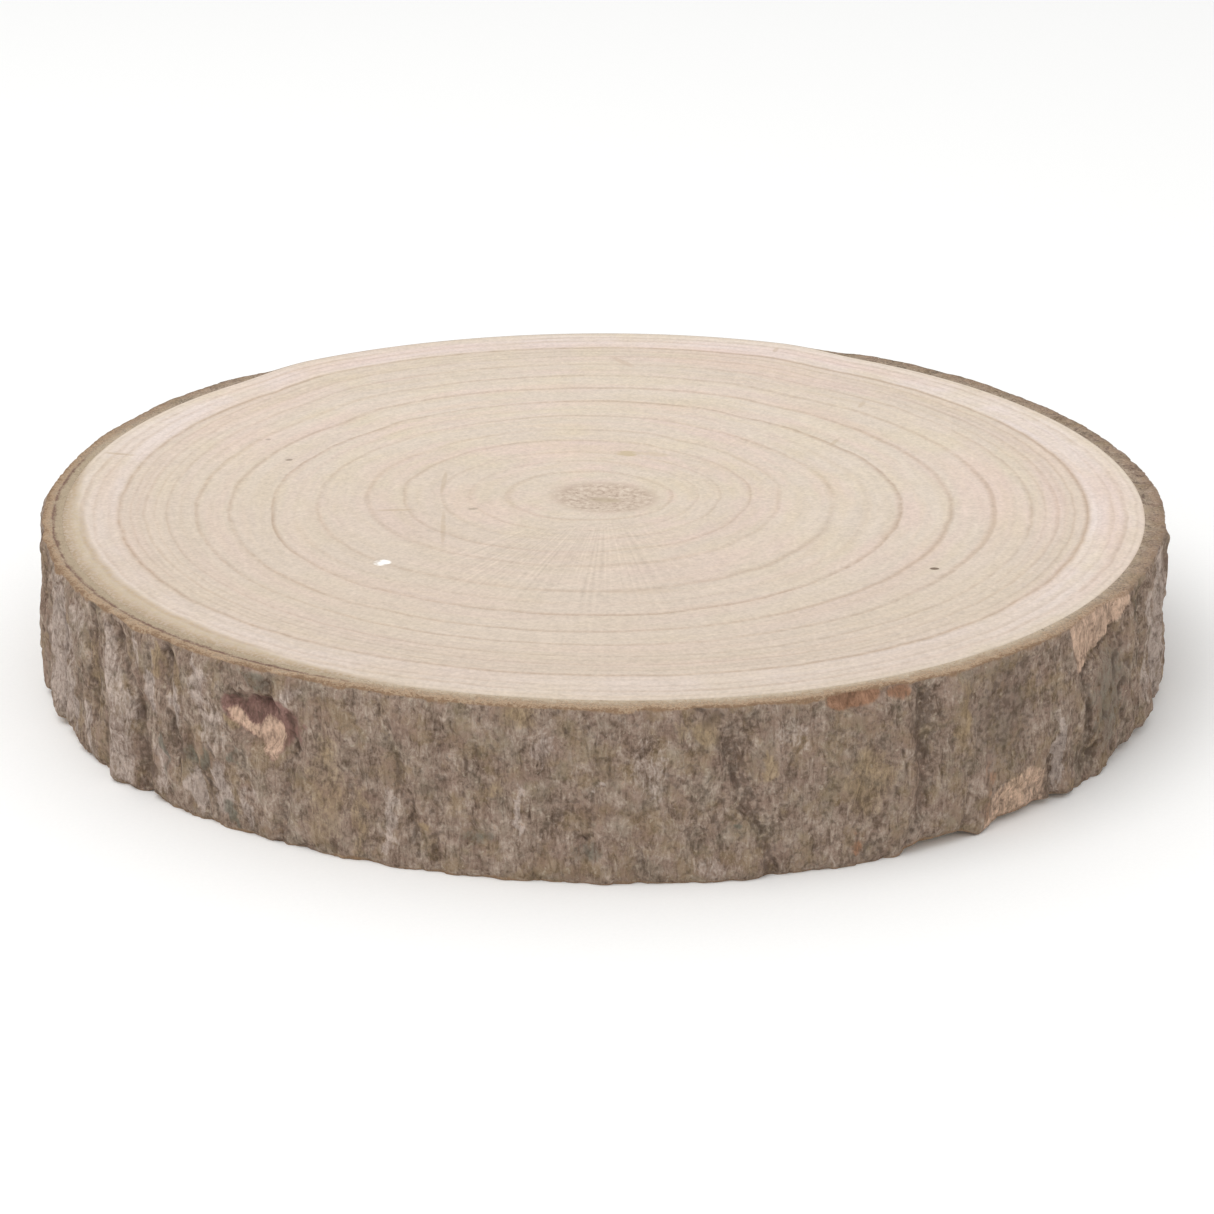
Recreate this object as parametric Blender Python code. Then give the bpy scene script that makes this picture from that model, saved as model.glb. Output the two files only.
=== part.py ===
"""A round slice sawn across a young tree trunk: pale wood, a soft pith and furrowed bark.

It grew as one piece, so it is one closed solid. Metres, +Z up. The origin is under the middle of the
slice, on the flat face it rests on. A bearing is the angle round the slice, counter-clockwise from +X,
so -90 degrees is the front. A fall is how far down the bark a thing lies, below the upper face.
"""
import math
import random
from collections import namedtuple

import bmesh
import bpy
from mathutils import Vector, noise

MM = 0.001
NAME = "wood_slice"

# Driving dimensions
MEAN_RADIUS = 125.0 * MM
THICKNESS = 37.0 * MM
BARK_THICKNESS = 4.0 * MM

# The trunk isn't quite round. Each entry is how many lobes, then their cosine and sine heights.
OUT_OF_ROUND = (
    (2, 0.0 * MM, -1.65 * MM),
    (3, -0.2 * MM, -0.25 * MM),
    (4, -0.25 * MM, 0.2 * MM),
    (5, 0.3 * MM, 0.0 * MM),
)
# The trunk widens a little towards the underside, more on the left than on the right.
LEFT_FLARE = 1.2 * MM
RIGHT_FLARE = 0.9 * MM

# The pith is a shallow oval hollow near the middle of the upper face.
PITH_CENTRE = (0.8 * MM, -4.7 * MM)
PITH_HALF_SIZE = (13.0 * MM, 10.5 * MM)
PITH_DEPTH = 0.8 * MM

# The bark's cut ring shrank a little below the wood, and its corners are worn round.
BARK_SHRINK = 0.2 * MM
CORNER_WEAR = 0.5 * MM
CORNER_RUN = 1.6 * MM
# No furrow or flake leaves less bark than this on the wood.
LEAST_BARK = 0.7 * MM
# Along the back the wood swells, the bark over it is thin, and its upper corner broke away.
BACK_BEARINGS = (68.0, 126.0)
BACK_RUN_OUT = 12.0
BACK_WOOD_SWELL = 3.2 * MM
BACK_BARK_SWELL = 1.2 * MM
BACK_BREAK = 2.4 * MM

# Even relief of the bark: broad swellings, and long plates with furrows between them.
SWELL_HEIGHT = 0.6 * MM
SWELL_LENGTH = 34.0 * MM
PLATE_HEIGHT = 0.6 * MM
PLATE_RISE = 0.9
FURROW_SHARPNESS = 4.0
PLATE_WIDTH = 11.0 * MM
PLATE_LENGTH = 34.0 * MM
# The saw left the bark even along the upper corner, so the furrows only deepen below it, in mm.
FURROW_FALL = 3.5
# Where in the noise the plates are read, and how many ripples of wear run along a corner.
PLATE_LEVEL = 9.0
CORNER_RIPPLES = 21.0
CORNER_LEVEL = 6.3

# Plain colours, as linear values: pale dry wood and weathered grey-brown bark.
WOOD_COLOUR = (0.68, 0.58, 0.48)
BARK_COLOUR = (0.21, 0.16, 0.12)

# Mesh: facets round the slice and rows down its side, closer together near the corners.
SEGMENTS = 264
ROWS = 11

# A groove runs down the bark between two points. A negative depth raises a ridge instead.
Groove = namedtuple("Groove", "bearing fall to_bearing to_fall width depth")
GROOVES = (
    Groove(-147.5, 0.0, -148.0, 24.0, 3.6, 1.2),
    Groove(-146.0, 0.0, -142.0, 22.0, 5.5, -0.9),
    Groove(-142.0, 22.0, -143.5, 37.0, 5.5, -0.9),
    Groove(-142.5, 3.0, -139.5, 18.0, 2.6, 1.0),
    Groove(-139.5, 18.0, -139.0, 37.0, 3.2, 1.5),
    Groove(-135.0, 0.0, -134.0, 22.0, 2.8, 1.0),
    Groove(-132.0, 18.0, -130.0, 37.0, 3.0, 1.1),
    Groove(-122.0, 0.0, -122.4, 8.0, 2.2, 1.3),
    Groove(-119.3, 16.0, -121.5, 37.0, 2.4, 1.1),
    Groove(-110.5, 4.0, -107.0, 30.0, 2.6, 0.8),
    Groove(-101.5, 10.0, -102.0, 26.0, 2.4, 0.7),
    Groove(-90.5, 12.0, -91.5, 30.0, 2.4, 0.7),
    Groove(-80.5, 0.0, -79.0, 10.0, 3.4, 1.0),
    Groove(-79.0, 10.0, -75.7, 32.0, 2.6, 0.8),
    Groove(-75.5, 28.0, -75.0, 37.0, 2.2, 0.9),
    Groove(-60.5, 0.0, -60.0, 20.0, 3.4, 0.9),
    Groove(-61.0, 24.0, -62.0, 35.0, 2.6, 0.8),
    Groove(-57.0, 2.0, -55.0, 22.0, 4.0, -0.5),
    Groove(-44.0, 26.0, -43.6, 37.0, 2.6, 1.6),
    Groove(-43.0, 18.0, -42.3, 36.0, 4.0, -0.7),
    Groove(-39.5, 10.0, -38.0, 32.0, 3.0, 1.0),
    Groove(-28.0, 2.0, -29.0, 22.0, 3.4, 1.0),
    Groove(-19.0, 12.0, -20.0, 30.0, 3.0, 0.9),
    Groove(-8.0, 0.0, -9.0, 37.0, 3.2, 1.0),
    Groove(-155.5, 8.0, -158.0, 37.0, 3.4, 1.0),
    Groove(-166.0, 2.0, -164.0, 30.0, 3.2, 1.0),
    Groove(-176.0, 0.0, -175.0, 37.0, 3.2, 1.0),
)
# Round the far side the furrows keep the same manner, drawn at random.
FAR_SIDE = (4.0, 180.0)
FAR_FURROW_SPACING = 6.6
SEED = 31

# A flake is where a scale of outer bark came off and left a sunken patch with a sharp edge.
Flake = namedtuple("Flake", "bearing fall half_width half_height tilt depth")
FLAKES = (
    Flake(-123.6, 11.5, 7.6, 6.0, 24.0, 1.6),
    Flake(-66.2, 1.2, 8.4, 3.4, 0.0, 1.1),
    Flake(-36.5, 4.0, 11.0, 7.0, 18.0, 1.1),
    Flake(-48.5, 33.5, 8.5, 5.0, 0.0, 1.0),
    Flake(28.0, 26.0, 9.0, 6.0, -12.0, 1.2),
    Flake(74.0, 31.0, 12.0, 5.0, 8.0, 1.3),
    Flake(137.0, 17.0, 6.5, 9.0, 15.0, 1.3),
)

# A chip is where the bark broke off along the lower corner.
Chip = namedtuple("Chip", "bearing half_width rise")
CHIPS = (
    Chip(-58.5, 4.6, 2.4),
    Chip(-47.0, 7.5, 1.4),
    Chip(-138.0, 1.6, 1.3),
    Chip(-24.0, 13.0, 1.8),
    Chip(-161.0, 13.0, 1.8),
    Chip(52.0, 7.0, 2.0),
    Chip(110.0, 9.0, 1.6),
    Chip(160.0, 4.0, 1.8),
)


def smooth_step(low, high, value):
    """0 up to low, 1 from high on, and a smooth rise between them."""
    share = min(max((value - low) / (high - low), 0.0), 1.0)
    return share * share * (3.0 - 2.0 * share)


def turn_between(bearing, other):
    """The turn in degrees from one bearing to another, the short way round."""
    return (bearing - other + 180.0) % 360.0 - 180.0


def back_share(bearing):
    """1 along the back, 0 away from it, and a smooth change between."""
    first, last = BACK_BEARINGS
    rise = smooth_step(first - BACK_RUN_OUT, first, bearing)
    return rise * (1.0 - smooth_step(last, last + BACK_RUN_OUT, bearing))


def trunk_radius(bearing):
    """The radius of the trunk at a bearing, before the swelling along the back."""
    turn = math.radians(bearing)
    lobes = sum(c * math.cos(n * turn) + s * math.sin(n * turn) for n, c, s in OUT_OF_ROUND)
    return MEAN_RADIUS + lobes


def wood_radius(bearing):
    """The radius where the wood ends and the bark begins."""
    return trunk_radius(bearing) - BARK_THICKNESS + BACK_WOOD_SWELL * back_share(bearing)


def flare(bearing, fall):
    """How much wider the trunk is at a fall than at the upper face."""
    sideways = math.cos(math.radians(bearing))
    most = RIGHT_FLARE if sideways > 0.0 else LEFT_FLARE
    return most * sideways**2 * smooth_step(0.0, 0.8, fall * MM / THICKNESS)


def far_grooves():
    """Furrows round the side that faces away, each with its own slant, length and depth."""
    draw = random.Random(SEED)
    grooves = []
    bearing = FAR_SIDE[0]
    while bearing < FAR_SIDE[1]:
        start = draw.uniform(0.0, 14.0)
        stop = draw.uniform(20.0, 42.0)
        slant = draw.uniform(-2.5, 2.5)
        width = draw.uniform(2.2, 3.8)
        depth = draw.uniform(0.6, 1.1)
        grooves.append(Groove(bearing, start, bearing + slant, stop, width, depth))
        bearing += FAR_FURROW_SPACING * draw.uniform(0.7, 1.3)
    return grooves


def groove_depth(groove, bearing, fall):
    """How deep one groove cuts at a point of the bark, in metres."""
    reach = groove.to_fall - groove.fall
    along = min(max((fall - groove.fall) / reach, 0.0), 1.0)
    line = groove.bearing + along * turn_between(groove.to_bearing, groove.bearing)
    across = math.radians(turn_between(bearing, line)) * MEAN_RADIUS / MM
    beyond = fall - (groove.fall + along * reach)
    distance = math.hypot(across, beyond * 0.5)
    return groove.depth * MM * math.exp(-((2.0 * distance / groove.width) ** 2))


def flake_depth(flake, bearing, fall):
    """How deep one flake sinks at a point of the bark, in metres."""
    across = math.radians(turn_between(bearing, flake.bearing)) * MEAN_RADIUS / MM
    down = fall - flake.fall
    tilt = math.radians(flake.tilt)
    along = across * math.cos(tilt) + down * math.sin(tilt)
    over = down * math.cos(tilt) - across * math.sin(tilt)
    reach = math.hypot(along / flake.half_width, over / flake.half_height)
    return flake.depth * MM * (1.0 - smooth_step(0.7, 1.1, reach))


def below_corner(fall):
    """0 at the upper corner, and 1 from where the furrows have their full depth."""
    return smooth_step(0.0, FURROW_FALL, fall)


def even_relief(bearing, fall):
    """The swellings and plates that cover the bark all round, in metres."""
    turn = math.radians(bearing)
    x, y = MEAN_RADIUS * math.cos(turn), MEAN_RADIUS * math.sin(turn)
    swell = noise.noise(Vector((x, y, fall * MM)) / SWELL_LENGTH)
    plate = noise.noise(Vector((x / PLATE_WIDTH, y / PLATE_WIDTH, fall * MM / PLATE_LENGTH + PLATE_LEVEL)))
    furrow = max(1.0 - FURROW_SHARPNESS * abs(plate), 0.0) * below_corner(fall)
    return SWELL_HEIGHT * swell + PLATE_HEIGHT * (PLATE_RISE - furrow)


def bark_radius(bearing, fall, grooves):
    """The bark's outer radius at a bearing and a fall in mm."""
    even = trunk_radius(bearing) + BACK_BARK_SWELL * back_share(bearing) + flare(bearing, fall)
    cut = below_corner(fall) * sum(groove_depth(groove, bearing, fall) for groove in grooves)
    sunk = sum(flake_depth(flake, bearing, fall) for flake in FLAKES)
    return even + even_relief(bearing, fall) - cut - sunk


def chip_rise(bearing):
    """How far the bark's lower corner lies above the underside."""
    rise = 0.0
    for chip in CHIPS:
        share = abs(turn_between(bearing, chip.bearing)) / chip.half_width
        rise = max(rise, chip.rise * MM * (1.0 - smooth_step(0.45, 1.0, share)))
    return rise


def break_fall(bearing):
    """How far the bark's upper corner lies below the upper face."""
    turn = math.radians(bearing)
    x, y = CORNER_RIPPLES * math.cos(turn), CORNER_RIPPLES * math.sin(turn)
    ripple = noise.noise(Vector((x, y, CORNER_LEVEL)))
    return CORNER_WEAR * (0.5 + 0.5 * ripple) + BACK_BREAK * back_share(bearing)


def slice_blank():
    """An even cylinder with rows down its side, and on each end a ring of bark round the wood."""
    blank = bmesh.new()
    bmesh.ops.create_cone(
        blank, cap_ends=True, segments=SEGMENTS, radius1=MEAN_RADIUS, radius2=MEAN_RADIUS, depth=THICKNESS
    )
    bmesh.ops.translate(blank, verts=blank.verts, vec=(0.0, 0.0, THICKNESS / 2))
    ends = [face for face in blank.faces if abs(face.normal.z) > 0.5]
    upper_end = max(ends, key=lambda face: face.calc_center_median().z)
    uprights = [edge for edge in blank.edges if abs(edge.verts[0].co.z - edge.verts[1].co.z) > THICKNESS / 2]
    bmesh.ops.subdivide_edges(blank, edges=uprights, cuts=ROWS - 1)
    for end in ends:
        bmesh.ops.inset_region(blank, faces=[end], thickness=BARK_THICKNESS, use_even_offset=True)
    bmesh.ops.inset_region(blank, faces=[upper_end], thickness=BARK_SHRINK, use_even_offset=True)
    return blank


def bark_point(bearing, row, grooves):
    """Radius and height of a point on the bark's side, with row running from 0 below to 1 above."""
    level = 0.5 - 0.5 * math.cos(math.pi * row)
    low = chip_rise(bearing)
    high = THICKNESS - break_fall(bearing)
    height = low + (high - low) * level
    to_corner = min(level, 1.0 - level) * THICKNESS
    wear = CORNER_WEAR * (1.0 - smooth_step(0.0, CORNER_RUN, to_corner))
    radius = bark_radius(bearing, (THICKNESS - height) / MM, grooves) - wear
    return max(radius, wood_radius(bearing) + LEAST_BARK), height


def shape_slice(blank, grooves):
    """Move every point of the blank to its place on the real slice."""
    for vert in blank.verts:
        turn = math.atan2(vert.co.y, vert.co.x)
        bearing = math.degrees(turn)
        inwards = MEAN_RADIUS - math.hypot(vert.co.x, vert.co.y)
        height = vert.co.z
        if inwards < BARK_THICKNESS / 2:
            radius, height = bark_point(bearing, height / THICKNESS, grooves)
        elif inwards < BARK_THICKNESS + BARK_SHRINK / 2:
            radius = wood_radius(bearing)
            height -= BARK_SHRINK if height > THICKNESS / 2 else 0.0
        else:
            radius = wood_radius(bearing) - BARK_SHRINK
        vert.co = Vector((radius * math.cos(turn), radius * math.sin(turn), height))


def finish_faces(blank):
    """Give the faces of the bark the second material."""
    for face in blank.faces:
        middle = face.calc_center_median()
        bearing = math.degrees(math.atan2(middle.y, middle.x))
        on_bark = len(face.verts) == 4 and math.hypot(middle.x, middle.y) > wood_radius(bearing)
        face.material_index = 1 if on_bark else 0


def plain_material(name, colour, roughness):
    """A material of one colour and roughness."""
    material = bpy.data.materials.new(name)
    material.use_nodes = True
    shader = material.node_tree.nodes["Principled BSDF"]
    shader.inputs["Base Color"].default_value = (*colour, 1.0)
    shader.inputs["Roughness"].default_value = roughness
    shader.inputs["Metallic"].default_value = 0.0
    return material


def make_slice(collection):
    """The whole slice but for the hollow of its pith."""
    blank = slice_blank()
    shape_slice(blank, list(GROOVES) + far_grooves())
    finish_faces(blank)
    mesh = bpy.data.meshes.new(NAME)
    blank.to_mesh(mesh)
    blank.free()
    mesh.materials.append(plain_material("sawn_wood", WOOD_COLOUR, 0.75))
    mesh.materials.append(plain_material("bark", BARK_COLOUR, 0.9))
    mesh.shade_smooth()
    mesh.set_sharp_from_angle(angle=math.radians(50.0))
    piece = bpy.data.objects.new(NAME, mesh)
    collection.objects.link(piece)
    return piece


def sink_pith(piece, cutters):
    """Cut the shallow oval hollow of the pith into the upper face."""
    mesh = bpy.data.meshes.new("pith_cutter")
    ball = bmesh.new()
    bmesh.ops.create_uvsphere(ball, u_segments=32, v_segments=10, radius=1.0)
    bmesh.ops.scale(ball, verts=ball.verts, vec=(*PITH_HALF_SIZE, PITH_DEPTH))
    bmesh.ops.translate(ball, verts=ball.verts, vec=(*PITH_CENTRE, THICKNESS))
    ball.to_mesh(mesh)
    ball.free()
    cutter = bpy.data.objects.new("pith_cutter", mesh)
    cutter.hide_render = True
    cutter.display_type = "WIRE"
    cutters.objects.link(cutter)
    cut = piece.modifiers.new("pith", "BOOLEAN")
    cut.operation = "DIFFERENCE"
    cut.solver = "EXACT"
    cut.object = cutter


def new_collection(name):
    """A collection in the scene."""
    collection = bpy.data.collections.new(name)
    bpy.context.scene.collection.children.link(collection)
    return collection


def main():
    """Clear the scene and build the slice."""
    for old in list(bpy.data.objects):
        bpy.data.objects.remove(old, do_unlink=True)
    piece = make_slice(new_collection(NAME))
    sink_pith(piece, new_collection("cutters"))


main()
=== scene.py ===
"""The looks of a slice sawn across a young tree trunk: pale growth rings and furrowed bark.

Metres, +Z up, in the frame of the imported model: the origin is under the middle of the slice. A bearing is
the angle round the slice in degrees, counter-clockwise from +X, so -90 is the front. A fall is how far
below the sawn face a thing on the bark lies, in millimetres. A growth is a share of the way from the
pith, at 0, out to the rim of the wood, at 1, so it is the same all along one growth ring.
"""
import functools
import logging
import math
import random
from collections.abc import Callable, Sequence
from dataclasses import dataclass
from enum import Enum
from typing import Any

import bmesh
import bpy
import numpy as np
from mathutils import Matrix, Vector, noise


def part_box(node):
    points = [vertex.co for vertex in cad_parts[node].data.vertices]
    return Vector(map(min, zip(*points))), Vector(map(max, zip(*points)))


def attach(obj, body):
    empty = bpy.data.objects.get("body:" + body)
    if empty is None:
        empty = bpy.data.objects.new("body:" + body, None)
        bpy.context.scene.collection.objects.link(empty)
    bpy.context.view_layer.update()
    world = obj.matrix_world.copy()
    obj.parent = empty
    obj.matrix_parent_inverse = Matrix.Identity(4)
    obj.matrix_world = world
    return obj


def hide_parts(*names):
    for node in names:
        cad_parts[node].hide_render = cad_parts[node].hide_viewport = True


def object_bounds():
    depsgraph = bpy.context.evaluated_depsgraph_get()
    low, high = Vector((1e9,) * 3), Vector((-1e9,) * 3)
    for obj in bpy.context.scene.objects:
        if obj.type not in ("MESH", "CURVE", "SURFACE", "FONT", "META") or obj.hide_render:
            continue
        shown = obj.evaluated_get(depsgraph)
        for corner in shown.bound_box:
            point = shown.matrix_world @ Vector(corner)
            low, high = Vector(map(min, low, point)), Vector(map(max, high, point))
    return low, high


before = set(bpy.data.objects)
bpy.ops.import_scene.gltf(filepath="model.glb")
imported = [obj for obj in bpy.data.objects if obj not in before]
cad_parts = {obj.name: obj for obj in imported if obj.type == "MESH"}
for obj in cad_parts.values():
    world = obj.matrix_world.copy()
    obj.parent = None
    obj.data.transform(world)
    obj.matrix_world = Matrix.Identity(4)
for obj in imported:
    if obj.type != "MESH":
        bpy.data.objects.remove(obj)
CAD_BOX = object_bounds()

LOG = logging.getLogger("wood_slice")
MM = 0.001
NODE = "wood_slice"
BODY = "root"
MERGE_DISTANCE = 0.002 * MM
SELECT_REACH = 0.01 * MM
# Each turned piece is spun coarse, and every face is then halved this many times, each way.
HALVINGS = 2
SPLITS = 2**HALVINGS
# How many ring lines share one colour ramp, which has room for three stops to a line.
RAMP_LINES = 10
# The numbers of a MapRange node's inputs, for the span that it reads and the span that it gives.
LOW, HIGH, TO_LOW, TO_HIGH = 1, 2, 3, 4

Colour = tuple[float, float, float, float]
Socket = bpy.types.NodeSocket


class Tone(Enum):
    """The tones that lie in patches over the grey-brown of the bark. Each is also an attribute's name."""

    OCHRE = "ochre"
    PALE = "pale"
    SLATE = "slate"
    RED = "red"
    RUSSET = "russet"
    INNER = "inner"
    DARK = "dark"


@dataclass(frozen=True)
class BarkPoints:
    """Points of the bark: their bearings, their falls and the trunk's mean radius, in metres."""

    bearing: np.ndarray
    fall: np.ndarray
    radius: float

    def across(self, bearing: Any) -> np.ndarray:
        """How far round the trunk they lie from a bearing, in mm."""
        return np.radians(turn_between(self.bearing, bearing)) * self.radius / MM

    def distance_to(self, corners: Sequence[tuple[float, float]]) -> np.ndarray:
        """How far they lie from a line that is drawn on the bark.

        Args:
            corners: the line's corners, each a bearing and a fall.

        Returns:
            The distances, in mm.
        """
        millimetres = math.radians(1.0) * self.radius / MM
        nearest = np.full(self.bearing.shape, np.inf)
        for (start, start_fall), (stop, stop_fall) in zip(corners, corners[1:]):
            across = turn_between(self.bearing, start) * millimetres
            down = self.fall - start_fall
            run, drop = (stop - start) * millimetres, stop_fall - start_fall
            along = np.clip((across * run + down * drop) / (run * run + drop * drop), 0.0, 1.0)
            nearest = np.minimum(nearest, np.hypot(across - along * run, down - along * drop))
        return nearest


@dataclass(frozen=True)
class Groove:
    """A furrow that runs down the bark between two points. A negative depth is a ridge. Sizes in mm."""

    bearing: float
    fall: float
    to_bearing: float
    to_fall: float
    width: float
    depth: float

    def cut(self, points: BarkPoints) -> np.ndarray:
        """How deep it cuts at points of the bark.

        Args:
            points: the points.

        Returns:
            The depths, in metres.
        """
        reach = self.to_fall - self.fall
        along = np.clip((points.fall - self.fall) / reach, 0.0, 1.0)
        line = self.bearing + along * turn_between(self.to_bearing, self.bearing)
        beyond = points.fall - (self.fall + along * reach)
        distance = np.hypot(points.across(line), beyond * 0.5)
        return self.depth * MM * np.exp(-((2.0 * distance / self.width) ** 2))


@dataclass(frozen=True)
class Oval:
    """A tilted oval on the bark, with half sizes in mm and its tilt in degrees."""

    bearing: float
    fall: float
    half_width: float
    half_height: float
    tilt: float

    def reach(self, points: BarkPoints) -> np.ndarray:
        """How far out points of the bark lie: 0 in the oval's middle and 1 on its outline.

        Args:
            points: the points.

        Returns:
            The shares of the oval's half sizes.
        """
        across = points.across(self.bearing)
        down = points.fall - self.fall
        tilt = math.radians(self.tilt)
        along = across * math.cos(tilt) + down * math.sin(tilt)
        over = down * math.cos(tilt) - across * math.sin(tilt)
        return np.hypot(along / self.half_width, over / self.half_height)


@dataclass(frozen=True)
class Flake(Oval):
    """Where a scale of outer bark came off, with its depth in mm and whether it left an even bare spot."""

    depth: float
    bare: bool


@dataclass(frozen=True)
class Patch(Oval):
    """A stretch of the bark that has a tone of its own."""

    strength: float
    tone: Tone


@dataclass(frozen=True)
class Area:
    """A part of the bark with its own tone and outline, whose corners are each a bearing and a fall.

    It may be sunk below the bark round it, by a depth in mm. A negative depth raises it.
    """

    tone: Tone
    strength: float
    depth: float
    corners: tuple[tuple[float, float], ...]

    def inside(self, points: BarkPoints) -> np.ndarray:
        """How far inside the outline points of the bark lie.

        Args:
            points: the points.

        Returns:
            The distances in mm, negative outside.
        """
        closed = self.corners + self.corners[:1]
        first = self.corners[0][0]
        across = turn_between(points.bearing, first)
        crossed = np.zeros(across.shape, dtype=bool)
        for (start, start_fall), (stop, stop_fall) in zip(closed, closed[1:]):
            spans = (points.fall < start_fall) != (points.fall < stop_fall)
            share = (points.fall - start_fall) / ((stop_fall - start_fall) or 1.0)
            crossed ^= spans & (across < start - first + share * (stop - start))
        distance = points.distance_to(closed)
        return np.where(crossed, distance, -distance)


@dataclass(frozen=True)
class Crack:
    """A thin crack in the bark, painted dark, partly its own colour and partly painted shade, of a width in
    mm, through points that are each a bearing and a fall.
    """

    width: float
    points: tuple[tuple[float, float], ...]


@dataclass(frozen=True)
class Chip:
    """Where the bark broke off along the lower corner. Its rise is in mm, its half width in degrees."""

    bearing: float
    half_width: float
    rise: float


@dataclass(frozen=True)
class RingLine:
    """The dark late wood of one year: where it lies, how wide it is and how dark, all as shares."""

    growth: float
    width: float
    strength: float


@dataclass(frozen=True)
class DarkArc:
    """A stretch of ring line that is darker than the rest of its ring."""

    growth: float
    bearing: float
    half_angle: float
    strength: float


@dataclass(frozen=True)
class Mark:
    """A small mark on the sawn face: its place and half sizes in mm, its turn in degrees and its colour."""

    x: float
    y: float
    half_length: float
    half_width: float
    turn: float
    colour: str
    strength: float


# The furrows and ridges of the near side.
GROOVES = tuple(
    Groove(*row)
    for row in (
        (-147.5, 0, -148, 24, 3.6, 1.2), (-146, 0, -142, 22, 5.5, -0.9), (-142, 22, -143.5, 37, 5.5, -0.9),
        (-142.5, 3, -139.5, 18, 2.6, 1), (-139.5, 18, -139, 37, 3.2, 1.5), (-135, 0, -134, 22, 2.8, 1),
        (-132, 18, -130, 37, 3, 1.1), (-122, 0, -122.4, 8, 2.2, 1.3), (-119.3, 16, -121.5, 37, 2.4, 1.1),
        (-110.5, 4, -107, 30, 2.6, 0.8), (-101.5, 10, -102, 26, 2.4, 0.7), (-90.5, 12, -91.5, 30, 2.4, 0.7),
        (-80.5, 0, -79, 10, 3.4, 1), (-79, 10, -75.7, 32, 2.6, 0.8), (-75.5, 28, -75, 37, 2.2, 0.9),
        (-60.5, 0, -60, 20, 3.4, 0.9), (-61, 24, -62, 35, 2.6, 0.8), (-57, 2, -55, 22, 4, -0.5),
        (-44, 26, -43.6, 37, 2.6, 1.6), (-43, 18, -42.3, 36, 4, -0.7), (-39.5, 10, -38, 32, 3, 1),
        (-28, 2, -29, 22, 3.4, 1), (-19, 12, -20, 30, 3, 0.9), (-8, 0, -9, 37, 3.2, 1),
        (-155.5, 8, -158, 37, 3.4, 1), (-166, 2, -164, 30, 3.2, 1), (-176, 0, -175, 37, 3.2, 1),
    )
)
# The places of the flakes, of which the last three are round the far side.
FLAKES = tuple(
    Flake(*row)
    for row in (
        (-123.6, 11.5, 7.6, 6, 24, 1.6, False), (-66.2, 1.2, 8.4, 3.4, 0, 1.1, False),
        (-36.5, 4, 11, 7, 18, 1.1, False), (-48.5, 33.5, 8.5, 5, 0, 1, False),
        (28, 26, 9, 6, -12, 1.2, True), (74, 31, 12, 5, 8, 1.3, True), (137, 17, 6.5, 9, 15, 1.3, True),
    )
)
# The chips of the lower corner, of which the last three are round the far side.
CHIPS = tuple(
    Chip(*row)
    for row in (
        (-58.5, 4.6, 2.4), (-47, 7.5, 1.4), (-138, 1.6, 1.3), (-24, 13, 1.8), (-161, 13, 1.8), (52, 7, 2),
        (110, 9, 1.6), (160, 4, 1.8),
    )
)
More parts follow.
